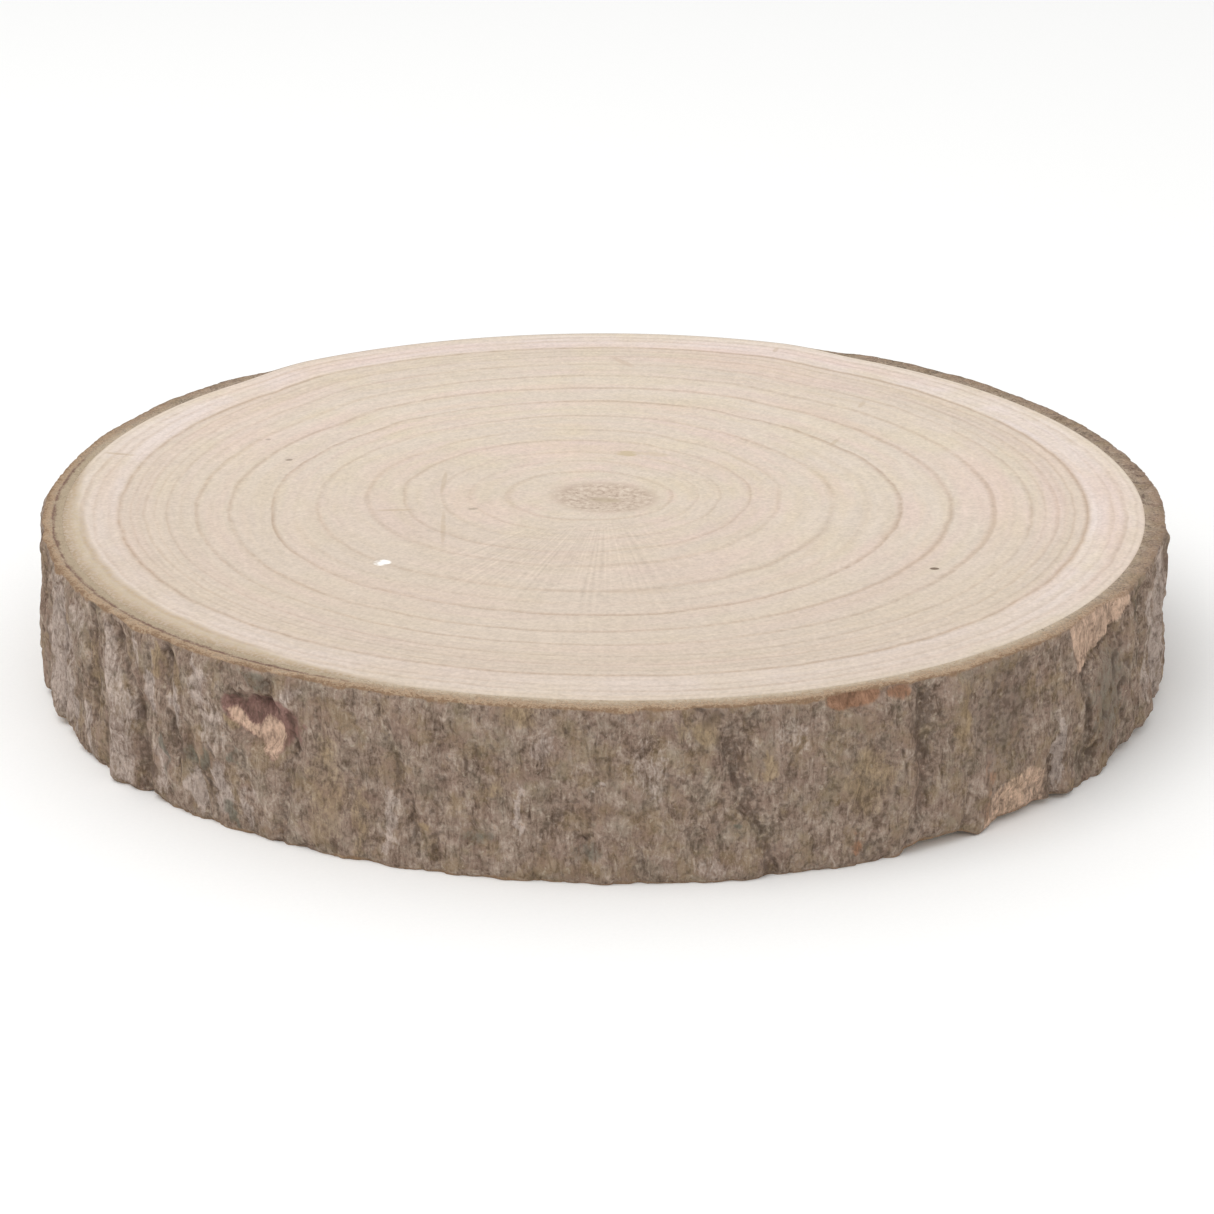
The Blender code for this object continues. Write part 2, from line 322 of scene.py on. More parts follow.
# The patches of each tone, as the fields of an oval and its strength.
PATCHES = {
    Tone.OCHRE: (
        (-148, 14, 1.8, 8, 0, 0.55), (-136.4, 6, 1.6, 5.5, 0, 0.9), (-133.2, 6, 1.6, 4, 0, 0.6),
        (-126.7, 13, 2.4, 1.4, 35, 0.8), (-116, 22, 4.5, 15, 0, 0.45), (-112.8, 28, 2.5, 8, 0, 0.6),
        (-106.5, 27.6, 1.5, 1.2, 0, 1.3), (-100.2, 18, 2.6, 2.4, 0, 0.6), (-97.3, 2, 4.5, 2.2, 0, 0.6),
        (-83.3, 4.5, 1.4, 2.8, 0, 0.6), (-80.8, 5, 2.8, 4, 0, 0.6), (-75.3, 13, 1.3, 3.8, 0, 0.7),
        (-66, 20, 6, 7.5, 0, 0.6), (-56.2, 9.5, 1.9, 8.5, 0, 0.7), (-49.5, 31, 4.5, 5.5, 0, 0.6),
        (-41.5, 35, 3, 1.6, 0, 0.7),
    ),
    Tone.PALE: (
        # Painted light: the broad patches at -158 and -18, 12 by 20 mm, lighten the bark's left and right
        # flanks; the rest are the bark's own pale tone.
        (-160, 10, 2.2, 8, -10, 0.8), (-158, 18, 12, 20, 0, 0.72), (-153.5, 27, 2, 8, -10, 0.8),
        (-151, 6, 4, 5, 0, 0.5), (-149.5, 30, 2.2, 6, -8, 0.7), (-139.2, 5, 2.2, 4.5, 0, 0.6),
        (-137.3, 13, 1.5, 6, -14, 0.9), (-135.8, 28, 2.6, 8, 0, 0.6), (-133.6, 13.5, 1.4, 6, -14, 0.9),
        (-131.5, 31, 1.8, 5.5, -8, 0.8), (-130.4, 6, 2, 7, 0, 0.7), (-129, 16, 3, 6, 0, 0.5),
        (-127.8, 27, 1.8, 7, -10, 0.8), (-124.8, 31, 2, 5, -8, 0.7), (-119.6, 4.5, 1.6, 2.6, 0, 0.6),
        (-109.6, 28, 2, 8, 0, 0.6), (-97.7, 22, 0.9, 6.5, 0, 0.8), (-95.4, 10, 1.6, 5, 0, 0.6),
        (-90.3, 16.4, 0.7, 1.2, 30, 1.8), (-86, 13, 4, 9, 0, 0.4), (-80, 33, 5, 3.5, 0, 0.4),
        (-73, 7, 4, 4, 0, 0.4), (-43.4, 25, 1.5, 9.5, 0, 1), (-24, 26, 3, 5, 0, 0.6),
        (-23.8, 10, 3, 5, 0, 0.7), (-18, 18, 12, 20, 0, 0.72),
    ),
    Tone.SLATE: (
        (-135.6, 24, 1.1, 6, -12, 0.8), (-132, 22.5, 1.4, 3.5, 0, 0.7), (-130, 23.5, 2, 4, 0, 0.8),
        (-126.9, 34, 1.1, 4, -10, 0.8), (-126.4, 21, 1.6, 1.8, 0, 0.7), (-124, 3.2, 4, 2, 25, 0.6),
        (-101, 28.5, 3.5, 1.8, 0, 0.6), (-91.5, 30, 3.5, 2.2, 0, 0.5), (-79, 25.7, 1.1, 1, 0, 1.2),
        (-34.5, 21, 8, 14, 0, 0.5), (-29, 5, 3, 4, 0, 0.9),
    ),
    Tone.RED: (
        (-123.3, 0, 6.5, 0.8, 0, 0.8), (-120.5, 13.6, 0.8, 1.6, 0, 0.8), (-118.9, 11, 1, 3.5, 0, 0.6),
    ),
    Tone.RUSSET: (
        (-67, 33, 1.2, 1.6, 0, 0.7), (-53, 28, 1.6, 7, 0, 0.45),
    ),
    Tone.DARK: (
        (-163, 20, 1.4, 7, -8, 0.6), (-156.5, 16, 1, 8, -12, 0.6), (-151.5, 19, 1, 3.5, 20, 0.7),
        (-148.3, 21, 1, 8, -10, 0.6), (-147.4, 1.6, 1.6, 1.6, 0, 0.8), (-145.6, 28, 0.9, 4, 0, 0.6),
        (-142.6, 4.6, 2, 2.6, 0, 0.8), (-140.6, 10, 1, 3, -20, 0.7), (-138.2, 31, 1.4, 5, 0, 0.9),
        (-134.7, 3, 1.2, 2.8, 0, 0.9), (-134.2, 18, 1, 3, -12, 0.9), (-132.7, 24, 0.9, 4, -6, 0.7),
        (-129.6, 27, 0.9, 4, 0, 0.8), (-128.9, 20.5, 0.9, 1.5, 0, 0.8), (-126.4, 8.6, 0.8, 0.7, 0, 1),
        (-126.3, 7.4, 0.9, 1, 0, 0.9), (-124.7, 9.2, 0.7, 0.8, 0, 0.9), (-123.4, 8.6, 0.6, 0.7, 0, 0.8),
        (-122.8, 7.6, 3.2, 1.2, 0, 0.9), (-121.5, 8.4, 0.8, 0.9, 0, 1), (-120, 9.8, 0.7, 0.9, 0, 0.9),
        (-119.7, 10, 0.9, 2.6, 0, 0.7), (-119.3, 13, 0.6, 1.4, 0, 0.8), (-80.6, 2.4, 2.4, 2.2, 0, 0.6),
        (-61, 8, 3.2, 7, 0, 0.4), (-51, 12, 9, 14, 0, 0.4), (-49, 3, 2, 2, 0, 0.6),
        (-38.2, 20, 1.6, 3, 0, 0.8), (-36.8, 30, 1.7, 2.6, 0, 0.8), (-35.5, 24, 1.4, 3, -20, 0.7),
        (-33.5, 14, 1.6, 4, 10, 0.7), (-33, 32, 1.3, 2.6, 0, 0.7), (-32, 20, 1.4, 2.6, 0, 0.8),
        (-30.5, 27, 1.4, 4, 0, 0.6), (-28.6, 10, 1.3, 2.6, 0, 0.8), (-27.5, 18, 1.2, 3.5, 0, 0.6),
    ),
}
# The ends that a far furrow's top, foot, slant, width and depth are drawn between.
FAR_FURROW = ((0, 14), (20, 42), (-2.5, 2.5), (2.2, 3.8), (0.6, 1.1))
# The same for a far patch's bearing, fall, half sizes, tilt and strength.
FAR_PATCH = ((-14, 190), (0, 37), (1.5, 5), (2.5, 10), (-20, 20), (0.4, 0.9))
FAR_TONES = (Tone.OCHRE, Tone.PALE, Tone.SLATE, Tone.PALE, Tone.OCHRE)
# The same for a far crack's first bearing and fall, for each step on to its next point, and its width.
FAR_CRACK_START = ((-14, 194), (0, 30))
FAR_CRACK_STEP = ((-1, 1), (2.5, 5.5))
FAR_CRACK_WIDTH = (0.6, 1.5)
# The bark's fibres and crumbs: each layer's height in mm, its size in mm each way and where it is read.
FIBRE_LAYERS = (
    (0.20, (2.6, 2.6, 15), 11),
    (0.17, (1.3, 1.3, 8), 5),
    (0.15, (1.7, 1.7, 1.7), 3),
)
AREAS = (
    Area(
        Tone.PALE, 0.6, -0.45,
        (
            (-145, 1), (-143.6, 3), (-141.6, 11), (-139.9, 18), (-140.2, 27),
            (-140.6, 36.5), (-144.4, 36.5), (-144.6, 28), (-143.6, 18), (-144.4, 9),
        ),
    ),
    Area(
        Tone.RED, 0.85, 0.3,
        (
            (-127.3, 7), (-125.5, 8), (-123.5, 6.2), (-120.8, 6), (-119, 8.5), (-118.9, 12.5),
            (-120.3, 16), (-121.6, 19), (-122.8, 16.5), (-124.8, 14.8), (-126.8, 12.5), (-127.6, 9.5),
        ),
    ),
    Area(
        Tone.INNER, 0.85, -0.35,
        (
            (-126.9, 10.6), (-125.6, 10), (-124.6, 12.2), (-123.6, 12.6), (-122.8, 10.8), (-121.4, 11.2),
            (-119.9, 13), (-120.5, 15.8), (-121.4, 18.8), (-122.8, 16.6), (-124.4, 14.8), (-126.4, 13),
        ),
    ),
    Area(
        Tone.RUSSET, 1, 0.3,
        ((-70.4, -1), (-65.2, -1), (-65, 1.2), (-65.8, 2.8), (-67.2, 3.7), (-69, 3.8), (-70.2, 2)),
    ),
    Area(Tone.RUSSET, 0.75, 0.2, ((-64.6, 0.4), (-62.2, 0.4), (-61.9, 2.8), (-63, 3.4), (-64.4, 2.2))),
    Area(
        Tone.INNER, 0.95, 0.3,
        (
            (-42.2, -1), (-30, -1), (-30.6, 3.2), (-33, 6.2), (-36, 7.8),
            (-38.4, 9.6), (-39.5, 12.2), (-40.8, 10.8), (-41.8, 5),
        ),
    ),
    Area(
        Tone.INNER, 0.58, 0.2,
        (
            (-53.6, 38), (-52.6, 30), (-50.5, 27), (-47.6, 26.2), (-45.2, 28.5),
            (-45, 33), (-45.4, 38),
        ),
    ),
)
# The cracks of the near side.
CRACKS = tuple(
    Crack(*row)
    for row in (
        (0.9, ((-150.5, 0.3), (-148.5, 1), (-147, 3))), (1.4, ((-158.5, 2), (-158.9, 8))),
        (1.4, ((-147.6, 14.5), (-147.9, 17), (-146.9, 20.5))),
        (1, ((-152.5, 17.5), (-151.3, 19), (-151, 22))), (1.2, ((-155.8, 14), (-155, 19), (-155.6, 27))),
        (1, ((-146.3, 22), (-145.8, 28), (-146.8, 34))), (0.7, ((-141.5, 11.5), (-140.3, 9))),
        (0.8, ((-139.8, 17), (-138.2, 16), (-136.6, 14.6), (-134.5, 15.8), (-133.6, 19))),
        (1.1, ((-139.9, 17.5), (-139.4, 22.5))),
        (1.7, ((-138, 20.5), (-137.9, 27), (-137.4, 31), (-137.8, 36))),
        (0.8, ((-133.9, 20), (-133.4, 26), (-133, 31))), (1, ((-129.8, 20), (-129.3, 27), (-130.2, 31))),
        (1, ((-122.2, -1), (-121.9, 2.5), (-122, 6))),
        (0.55, (
            (-118.6, 15.4), (-119.7, 17), (-119.6, 20), (-120.3, 24), (-120.6, 29), (-121.6, 33),
            (-121.4, 36.5),
        )),
        (0.7, ((-107.8, 19.5), (-107.4, 23), (-107.7, 26))), (0.6, ((-103.6, 26), (-102.9, 24))),
        (0.6, ((-102.4, 11), (-102.2, 15), (-102.5, 20))), (0.9, ((-93.8, 1), (-93.4, 6))),
        (0.6, ((-91.9, 24.5), (-91.6, 28))), (0.6, ((-86.9, 21.5), (-86.8, 26))),
        (1.1, ((-82, 0.3), (-80.8, 1.5), (-79.4, 2.5))), (0.9, ((-81.5, 6), (-80.2, 9.5))),
        (1, ((-78.7, 14), (-78, 17.5), (-78.4, 20.5), (-77.9, 23.3))),
        (1, ((-76.9, 19.5), (-76, 22), (-76.6, 24.5), (-75.3, 29.6))), (0.9, ((-74.6, 30), (-74.5, 36.5))),
        (1.6, ((-61.2, 1), (-60.2, 6), (-61, 12), (-60.2, 17))),
        (0.7, ((-63, 14), (-62.5, 19), (-62.9, 23))), (0.7, ((-61, 27), (-61.4, 30.5), (-62.3, 34.5))),
        (1.4, ((-44.9, 26.5), (-44.4, 30), (-44.7, 34.5))),
        (0.7, ((-39.7, 10), (-38.2, 7), (-36.6, 4), (-35.8, 0))),
        (1.3, ((-39.6, 12.8), (-38.2, 10.2), (-36, 8.4), (-33, 6.8), (-30.6, 3.8))),
        (0.9, ((-42.2, 0.5), (-41.6, 6), (-39.6, 12.5))), (1.6, ((-38.6, 15), (-37.8, 20), (-38.4, 28))),
        (1.8, ((-30.5, 0.5), (-29, 4), (-28.6, 8))), (1.2, ((-31, 14), (-30, 22))),
        (1.2, ((-33.3, 28), (-32.7, 34))),
    )
)
# The ring lines, from the pith to the rim.
RING_LINES = tuple(
    RingLine(*row)
    for row in (
        (0.155, 0.010, 0.40), (0.215, 0.008, 0.25), (0.262, 0.008, 0.25), (0.325, 0.009, 0.40),
        (0.385, 0.009, 0.38), (0.478, 0.011, 0.42), (0.530, 0.008, 0.20), (0.578, 0.010, 0.62),
        (0.662, 0.010, 0.58), (0.733, 0.010, 0.55), (0.768, 0.006, 0.18), (0.798, 0.008, 0.42),
        (0.822, 0.006, 0.30), (0.843, 0.006, 0.42), (0.858, 0.005, 0.30), (0.873, 0.006, 0.42),
        (0.896, 0.009, 0.75), (0.915, 0.005, 0.18), (0.941, 0.006, 0.32), (0.964, 0.008, 0.45),
        (0.986, 0.006, 0.30),
    )
)
# The stretches of ring lines that are dark in the photograph.
DARK_ARCS = tuple(
    DarkArc(*row)
    for row in (
        (0.896, 58, 22, 1.6), (0.896, 140, 10, 0.8), (0.662, -32, 30, 0.9), (0.478, -48, 16, 0.6),
        (0.870, 2, 34, 0.8), (0.733, -12, 24, 0.5), (0.478, -92, 5, 0.9), (0.155, -104, 22, 0.8),
    )
)
DARK_MARK = "#6f5d4c"
OLIVE_MARK = "#bfae8c"
SMUDGE_MARK = "#c3ae9b"
CHECK_MARK = "#b7a287"
WHITE_MARK = "#fdfcf8"
# The specks, checks and smudges of the sawn face.
MARKS = tuple(
    Mark(*row)
    for row in (
        (-46.6, -45.5, 2.2, 2.1, 20, WHITE_MARK, 1), (70, -51.1, 1.2, 0.9, 0, DARK_MARK, 0.9),
        (6.1, 25.5, 3.4, 2.4, -10, OLIVE_MARK, 0.7), (12, 25, 5, 1.8, -20, OLIVE_MARK, 0.3),
        (-35.8, 6, 9, 0.7, 88, CHECK_MARK, 0.35), (-34.6, -24, 13, 0.7, 92, CHECK_MARK, 0.35),
        (55, 33.1, 3.8, 0.8, 66, CHECK_MARK, 0.4), (63.6, 62, 4, 0.8, 72, CHECK_MARK, 0.35),
        (-45.6, -12.5, 5.6, 0.8, 2, CHECK_MARK, 0.4), (-28.5, -12, 1.4, 0.8, 10, DARK_MARK, 0.4),
        (5.6, 98, 6.5, 1.4, -60, SMUDGE_MARK, 0.5), (-112.5, 27.5, 5, 0.8, -16, CHECK_MARK, 0.5),
        (-72.5, 22.5, 1.1, 0.9, 0, DARK_MARK, 0.6), (-78.8, 37.5, 0.9, 0.8, 0, DARK_MARK, 0.4),
        (45, 107.5, 2.6, 0.8, 75, CHECK_MARK, 0.4), (8, -63, 9, 2.2, 0, SMUDGE_MARK, 0.3),
    )
)


def smooth_step(low: float, high: float, value: Any) -> Any:
    """0 up to low, 1 from high on, and a smooth rise between them, for a number or an array.

    Args:
        low: where the rise starts.
        high: where it ends, which may lie below low for a fall.
        value: a number or an array.

    Returns:
        The share risen, from 0 to 1.
    """
    share = np.clip((value - low) / (high - low), 0.0, 1.0)
    return share * share * (3.0 - 2.0 * share)


def turn_between(bearing: Any, other: Any) -> Any:
    """The turn in degrees from one bearing to another, the short way round."""
    return (bearing - other + 180.0) % 360.0 - 180.0


def angle_share(bearing: np.ndarray, middle: float, half_angle: float) -> np.ndarray:
    """How far bearings lie from a middle one: 0 on it and 1 at the half angle on either side."""
    return np.abs(turn_between(bearing, middle)) / half_angle


def noise_field(points: np.ndarray, size: Any, shift: Any = 0.0) -> np.ndarray:
    """Smooth noise at many points, from about -1 to 1.

    Args:
        points: an array of points, one to a row.
        size: how long its lumps are, in the points' own unit, the same or one for each axis.
        shift: where in the noise it is read, in lumps, the same or one for each axis.

    Returns:
        One value for each point.
    """
    scaled = points / np.asarray(size) + np.asarray(shift)
    return np.array([noise.noise(point) for point in scaled.tolist()])


def srgb(code: str) -> Colour:
    """Turn an sRGB hex colour into linear values.

    Args:
        code: the colour, such as "#8b7869".

    Returns:
        Red, green, blue and an alpha of 1.
    """
    shares = [int(code[place:place + 2], 16) / 255.0 for place in (1, 3, 5)]
    linear = [s / 12.92 if s <= 0.04045 else ((s + 0.055) / 1.055) ** 2.4 for s in shares]
    return (*linear, 1.0)


def add_node(
    tree: bpy.types.NodeTree,
    kind: str,
    inputs: dict[Any, Any] | None = None,
    output: Any = 0,
    stops: Sequence[tuple[float, Any]] = (),
    **settings: Any,
) -> Socket:
    """Add a node with its settings and links.

    Args:
        tree: the node tree that it goes into.
        kind: the node's type, without the word ShaderNode before it.
        inputs: for each input, by its name or number, the socket that feeds it or its value.
        output: the output to hand back, by its name or number.
        stops: a colour ramp's stops, each a place and a hex colour or a grey share.
        settings: the node's own properties.

    Returns:
        The chosen output.
    """
    node = tree.nodes.new("ShaderNode" + kind)
    for name, value in settings.items():
        setattr(node, name, value)
    for key, value in (inputs or {}).items():
        if isinstance(value, Socket):
            tree.links.new(value, node.inputs[key])
        else:
            node.inputs[key].default_value = value
    for number, (place, value) in enumerate(stops):
        elements = node.color_ramp.elements
        element = elements[number] if number < 2 else elements.new(place)
        element.position = place
        element.color = srgb(value) if isinstance(value, str) else (value, value, value, 1.0)
    return node.outputs[output]


def start_material(name: str) -> tuple[bpy.types.Material, Callable[..., Socket]]:
    """Start a material that is made of nodes.

    Args:
        name: the material's name.

    Returns:
        The material, and the function that adds a node to it.
    """
    material = bpy.data.materials.new(name)
    material.use_nodes = True
    return material, functools.partial(add_node, material.node_tree)


def ragged_share(
    add: Callable[..., Socket],
    name: str,
    tear: Socket,
    push: float,
    span: tuple[float, float],
    most: float = 1.0,
) -> Socket:
    """The share of a layer whose place an attribute gives, with an outline that noise tears.

    Args:
        add: adds a node to the material.
        name: the attribute's name.
        tear: the noise.
        push: how strongly the noise moves the outline.
        span: where the sum of both starts to show, and where it shows in full.
        most: the share where it shows in full.

    Returns:
        The share.
    """
    share = add("Attribute", output="Fac", attribute_name=name)
    share = add("Math", {0: tear, 1: push, 2: share}, operation="MULTIPLY_ADD")
    return add("MapRange", {0: share, LOW: span[0], HIGH: span[1], TO_HIGH: most})


def feed_shader(
    material: bpy.types.Material, colour: Socket, bump: Socket, roughness: float, specular: float
) -> None:
    """Feed a material's own shader.

    Args:
        material: the material.
        colour: the colour.
        bump: the bumped normal.
        roughness: the roughness, the same all over.
        specular: the specular level, the same all over.
    """
    tree = material.node_tree
    shader = tree.nodes["Principled BSDF"]
    shader.inputs["Roughness"].default_value = roughness
    shader.inputs["Specular IOR Level"].default_value = specular
    tree.links.new(colour, shader.inputs["Base Color"])
    tree.links.new(bump, shader.inputs["Normal"])


@dataclass(frozen=True)
class Trunk:
    """The outline that the wood and the bark share."""

    thickness: float
    mean_radius: float = 125.0 * MM
    bark_thickness: float = 4.0 * MM
    lobes: tuple[tuple[int, float, float], ...] = (
        (2, 0.0 * MM, -1.65 * MM),
        (3, -0.2 * MM, -0.25 * MM),
        (4, -0.25 * MM, 0.2 * MM),
        (5, 0.3 * MM, 0.0 * MM),
    )
    left_flare: float = 1.2 * MM
    right_flare: float = 0.9 * MM
    back_bearings: tuple[float, float] = (68.0, 126.0)
    back_run_out: float = 12.0
    back_wood_swell: float = 3.2 * MM

    def outline(self, bearing: np.ndarray) -> np.ndarray:
        """The trunk's radius, before the swelling along the back."""
        turn = np.radians(bearing)
        return self.mean_radius + sum(c * np.cos(n * turn) + s * np.sin(n * turn) for n, c, s in self.lobes)

    def back_share(self, bearing: np.ndarray) -> np.ndarray:
        """1 along the back, 0 away from it, and a smooth change between."""
        first, last = self.back_bearings
        rise = smooth_step(first - self.back_run_out, first, bearing)
        return rise * (1.0 - smooth_step(last, last + self.back_run_out, bearing))

    def wood_radius(self, bearing: np.ndarray) -> np.ndarray:
        """The radius where the wood ends and the bark begins."""
        return self.outline(bearing) - self.bark_thickness + self.back_wood_swell * self.back_share(bearing)

    def flare(self, bearing: np.ndarray, fall: np.ndarray) -> np.ndarray:
        """How much wider the trunk is at a fall than at the sawn face."""
        sideways = np.cos(np.radians(bearing))
        most = np.where(sideways > 0.0, self.right_flare, self.left_flare)
        return most * sideways**2 * smooth_step(0.0, 0.8, fall * MM / self.thickness)


@dataclass(frozen=True)
class GrowthRings:
    """How the growth rings lie between the pith and the rim of the wood.

    The young tree leaned, so its rings aren't centred: they drift to the left and the front before the
    last years bring them back to the outline of the trunk.
    """

    trunk: Trunk
    pith: tuple[float, float] = (0.8 * MM, -4.7 * MM)
    drift: float = 0.055
    drift_end: float = 0.88
    drift_bearings: tuple[float, float] = (175.0, 235.0)
    drift_turn: tuple[float, float] = (0.32, 0.62)
    wobble: float = 0.012
    squash: float = 0.13
    squash_end: tuple[float, float] = (0.1, 0.5)
    arc_reach: tuple[float, float] = (0.014, 0.030)

    def places(self, growth: np.ndarray, bearing: np.ndarray) -> np.ndarray:
        """Where points lie on the sawn face.

        Args:
            growth: the points' growths.
            bearing: the bearings of the points of the rim that they lie towards.

        Returns:
            Their x and y in metres, one point to a row.
        """
        turn = np.radians(bearing)
        direction = np.stack([np.cos(turn), np.sin(turn)], axis=1)
        ripples = np.column_stack([direction * 1.4, growth * 4.0])
        wave = self.wobble * np.sin(math.pi * growth) * noise_field(ripples, 1.0, (3.0, 7.0, 1.0))
        wave += 0.35 * self.wobble * np.sin(math.pi * growth) * noise_field(ripples, 0.3, (1.0, 2.0, 5.0))
        reach = (growth + wave) * self.trunk.wood_radius(bearing)
        drifting = np.sin(math.pi * np.clip(growth / self.drift_end, 0.0, 1.0))
        away = self.drift * self.trunk.mean_radius * drifting
        first, last = self.drift_bearings
        towards = np.radians(first + (last - first) * smooth_step(*self.drift_turn, growth))
        flat = 1.0 - self.squash * (1.0 - smooth_step(*self.squash_end, growth))
        x = (1.0 - growth) * self.pith[0] + reach * direction[:, 0] + away * np.cos(towards)
        y = (1.0 - growth) * self.pith[1] + reach * direction[:, 1] * flat + away * np.sin(towards)
        return np.column_stack([x, y])

    def darkness(self, growth: np.ndarray, bearing: np.ndarray) -> np.ndarray:
        """How much darker than usual the ring lines are.

        Args:
            growth: the points' growths.
            bearing: the points' bearings.

        Returns:
            0 where they are as usual, and more where they are darker.
        """
        dark = np.zeros_like(growth)
        for arc in DARK_ARCS:
            near = 1.0 - smooth_step(*self.arc_reach, np.abs(growth - arc.growth))
            along = 1.0 - smooth_step(0.6, 1.2, angle_share(bearing, arc.bearing, arc.half_angle))
            dark = np.maximum(dark, arc.strength * near * along)
        return dark


def read_points(piece: bpy.types.Object) -> np.ndarray:
    """The places of a mesh's vertices, one to a row."""
    flat = np.empty(len(piece.data.vertices) * 3)
    piece.data.vertices.foreach_get("co", flat)
    return flat.reshape(-1, 3)


def write_points(piece: bpy.types.Object, points: np.ndarray) -> None:
    """Move a mesh's vertices, and keep them inside the box of the CAD model.

    Args:
        piece: the object.
        points: the new places, one to a row.
    """
    low, high = CAD_BOX
    piece.data.vertices.foreach_set("co", np.clip(points, tuple(low), tuple(high)).ravel())
    piece.data.update()


def write_attributes(piece: bpy.types.Object, columns: dict[str, np.ndarray]) -> None:
    """Store numbers or vectors for each vertex, for a material to read.

    Args:
        piece: the object.
        columns: for each attribute's name, one value or one row of three for each vertex.
    """
    for name, values in columns.items():
        kind, field = ("FLOAT", "value") if values.ndim == 1 else ("FLOAT_VECTOR", "vector")
        attribute = piece.data.attributes.new(name, kind, "POINT")
        attribute.data.foreach_set(field, values.astype(np.float32).ravel())


def select_edges(piece: bpy.types.Object, axis: int, place: float) -> None:
    """Select, in edit mode, only the edges whose middle has a certain coordinate.

    Args:
        piece: the object in edit mode.
        axis: the coordinate's number: 0 for x and 2 for z.
        place: the coordinate, in metres.
    """
    bpy.ops.mesh.select_mode(type="EDGE")
    bpy.ops.mesh.select_all(action="DESELECT")
    work = bmesh.from_edit_mesh(piece.data)
    for edge in work.edges:
        middle = (edge.verts[0].co + edge.verts[1].co) / 2.0
        edge.select_set(abs(middle[axis] - place) < SELECT_REACH)
    bmesh.update_edit_mesh(piece.data)


def upright_section(name: str, inner: float, outer: float, height: float) -> bpy.types.Object:
    """Start a turned piece: the outline of half its section, standing on the XZ plane, in edit mode.

    Args:
        name: the piece's name.
        inner: the radius of its inner side.
        outer: the radius of its outer side.
        height: how tall it is.

    Returns:
        The object, left in edit mode, with four edges and no face.
    """
    bpy.ops.object.select_all(action="DESELECT")
    middle = ((inner + outer) / 2.0, 0.0, height / 2.0)
    bpy.ops.mesh.primitive_plane_add(size=1.0, location=middle, rotation=(math.radians(90.0), 0.0, 0.0))
    piece = bpy.context.active_object
    piece.name = piece.data.name = name
    piece.scale = (outer - inner, height, 1.0)
    bpy.ops.object.transform_apply(location=True, rotation=True, scale=True)
    bpy.ops.object.mode_set(mode="EDIT")
    bpy.ops.mesh.select_all(action="SELECT")
    bpy.ops.mesh.delete(type="ONLY_FACE")
    return piece


def split_sides(piece: bpy.types.Object, sides: Sequence[tuple[int, float, int]]) -> None:
    """Split the sides of the section in edit mode into even rows.

    Args:
        piece: the object in edit mode.
        sides: for each side, the axis and the place that select it, and its number of rows.
    """
    for axis, place, rows in sides:
        select_edges(piece, axis, place)
        if rows > 1:
            bpy.ops.mesh.subdivide(number_cuts=rows - 1)


def turn_section(piece: bpy.types.Object, steps: int) -> None:
    """Spin the section in edit mode once round the Z axis into a closed mesh, and split its faces.

    Args:
        piece: the object, which is in object mode afterwards.
        steps: how many facets the spin makes round the axis, before the splitting.
    """
    bpy.ops.mesh.select_all(action="SELECT")
    bpy.ops.mesh.spin(steps=steps, angle=math.tau, center=(0.0, 0.0, 0.0), axis=(0.0, 0.0, 1.0))
    bpy.ops.mesh.select_all(action="SELECT")
    bpy.ops.mesh.remove_doubles(threshold=MERGE_DISTANCE)
    bpy.ops.mesh.normals_make_consistent(inside=False)
    bpy.ops.object.mode_set(mode="OBJECT")
    finer = piece.modifiers.new("finer", "SUBSURF")
    finer.subdivision_type = "SIMPLE"
    finer.levels = finer.render_levels = HALVINGS
    bpy.ops.object.modifier_apply(modifier=finer.name)


def finish_piece(piece: bpy.types.Object, material: bpy.types.Material, slot: str) -> None:
    """Shade and dress a piece, and hand it over to stand for the CAD node.

    Args:
        piece: the finished piece.
        material: its finish.
        slot: the record's material slot that the finish belongs to.
    """
    bpy.ops.object.select_all(action="DESELECT")
    piece.select_set(True)
    bpy.context.view_layer.objects.active = piece
    bpy.ops.object.shade_smooth_by_angle(angle=math.radians(60.0))
    piece.data.materials.append(material)
    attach(piece, BODY)
    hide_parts(NODE)
    LOG.info("%s: %d faces, slot %s", piece.name, len(piece.data.polygons), slot)


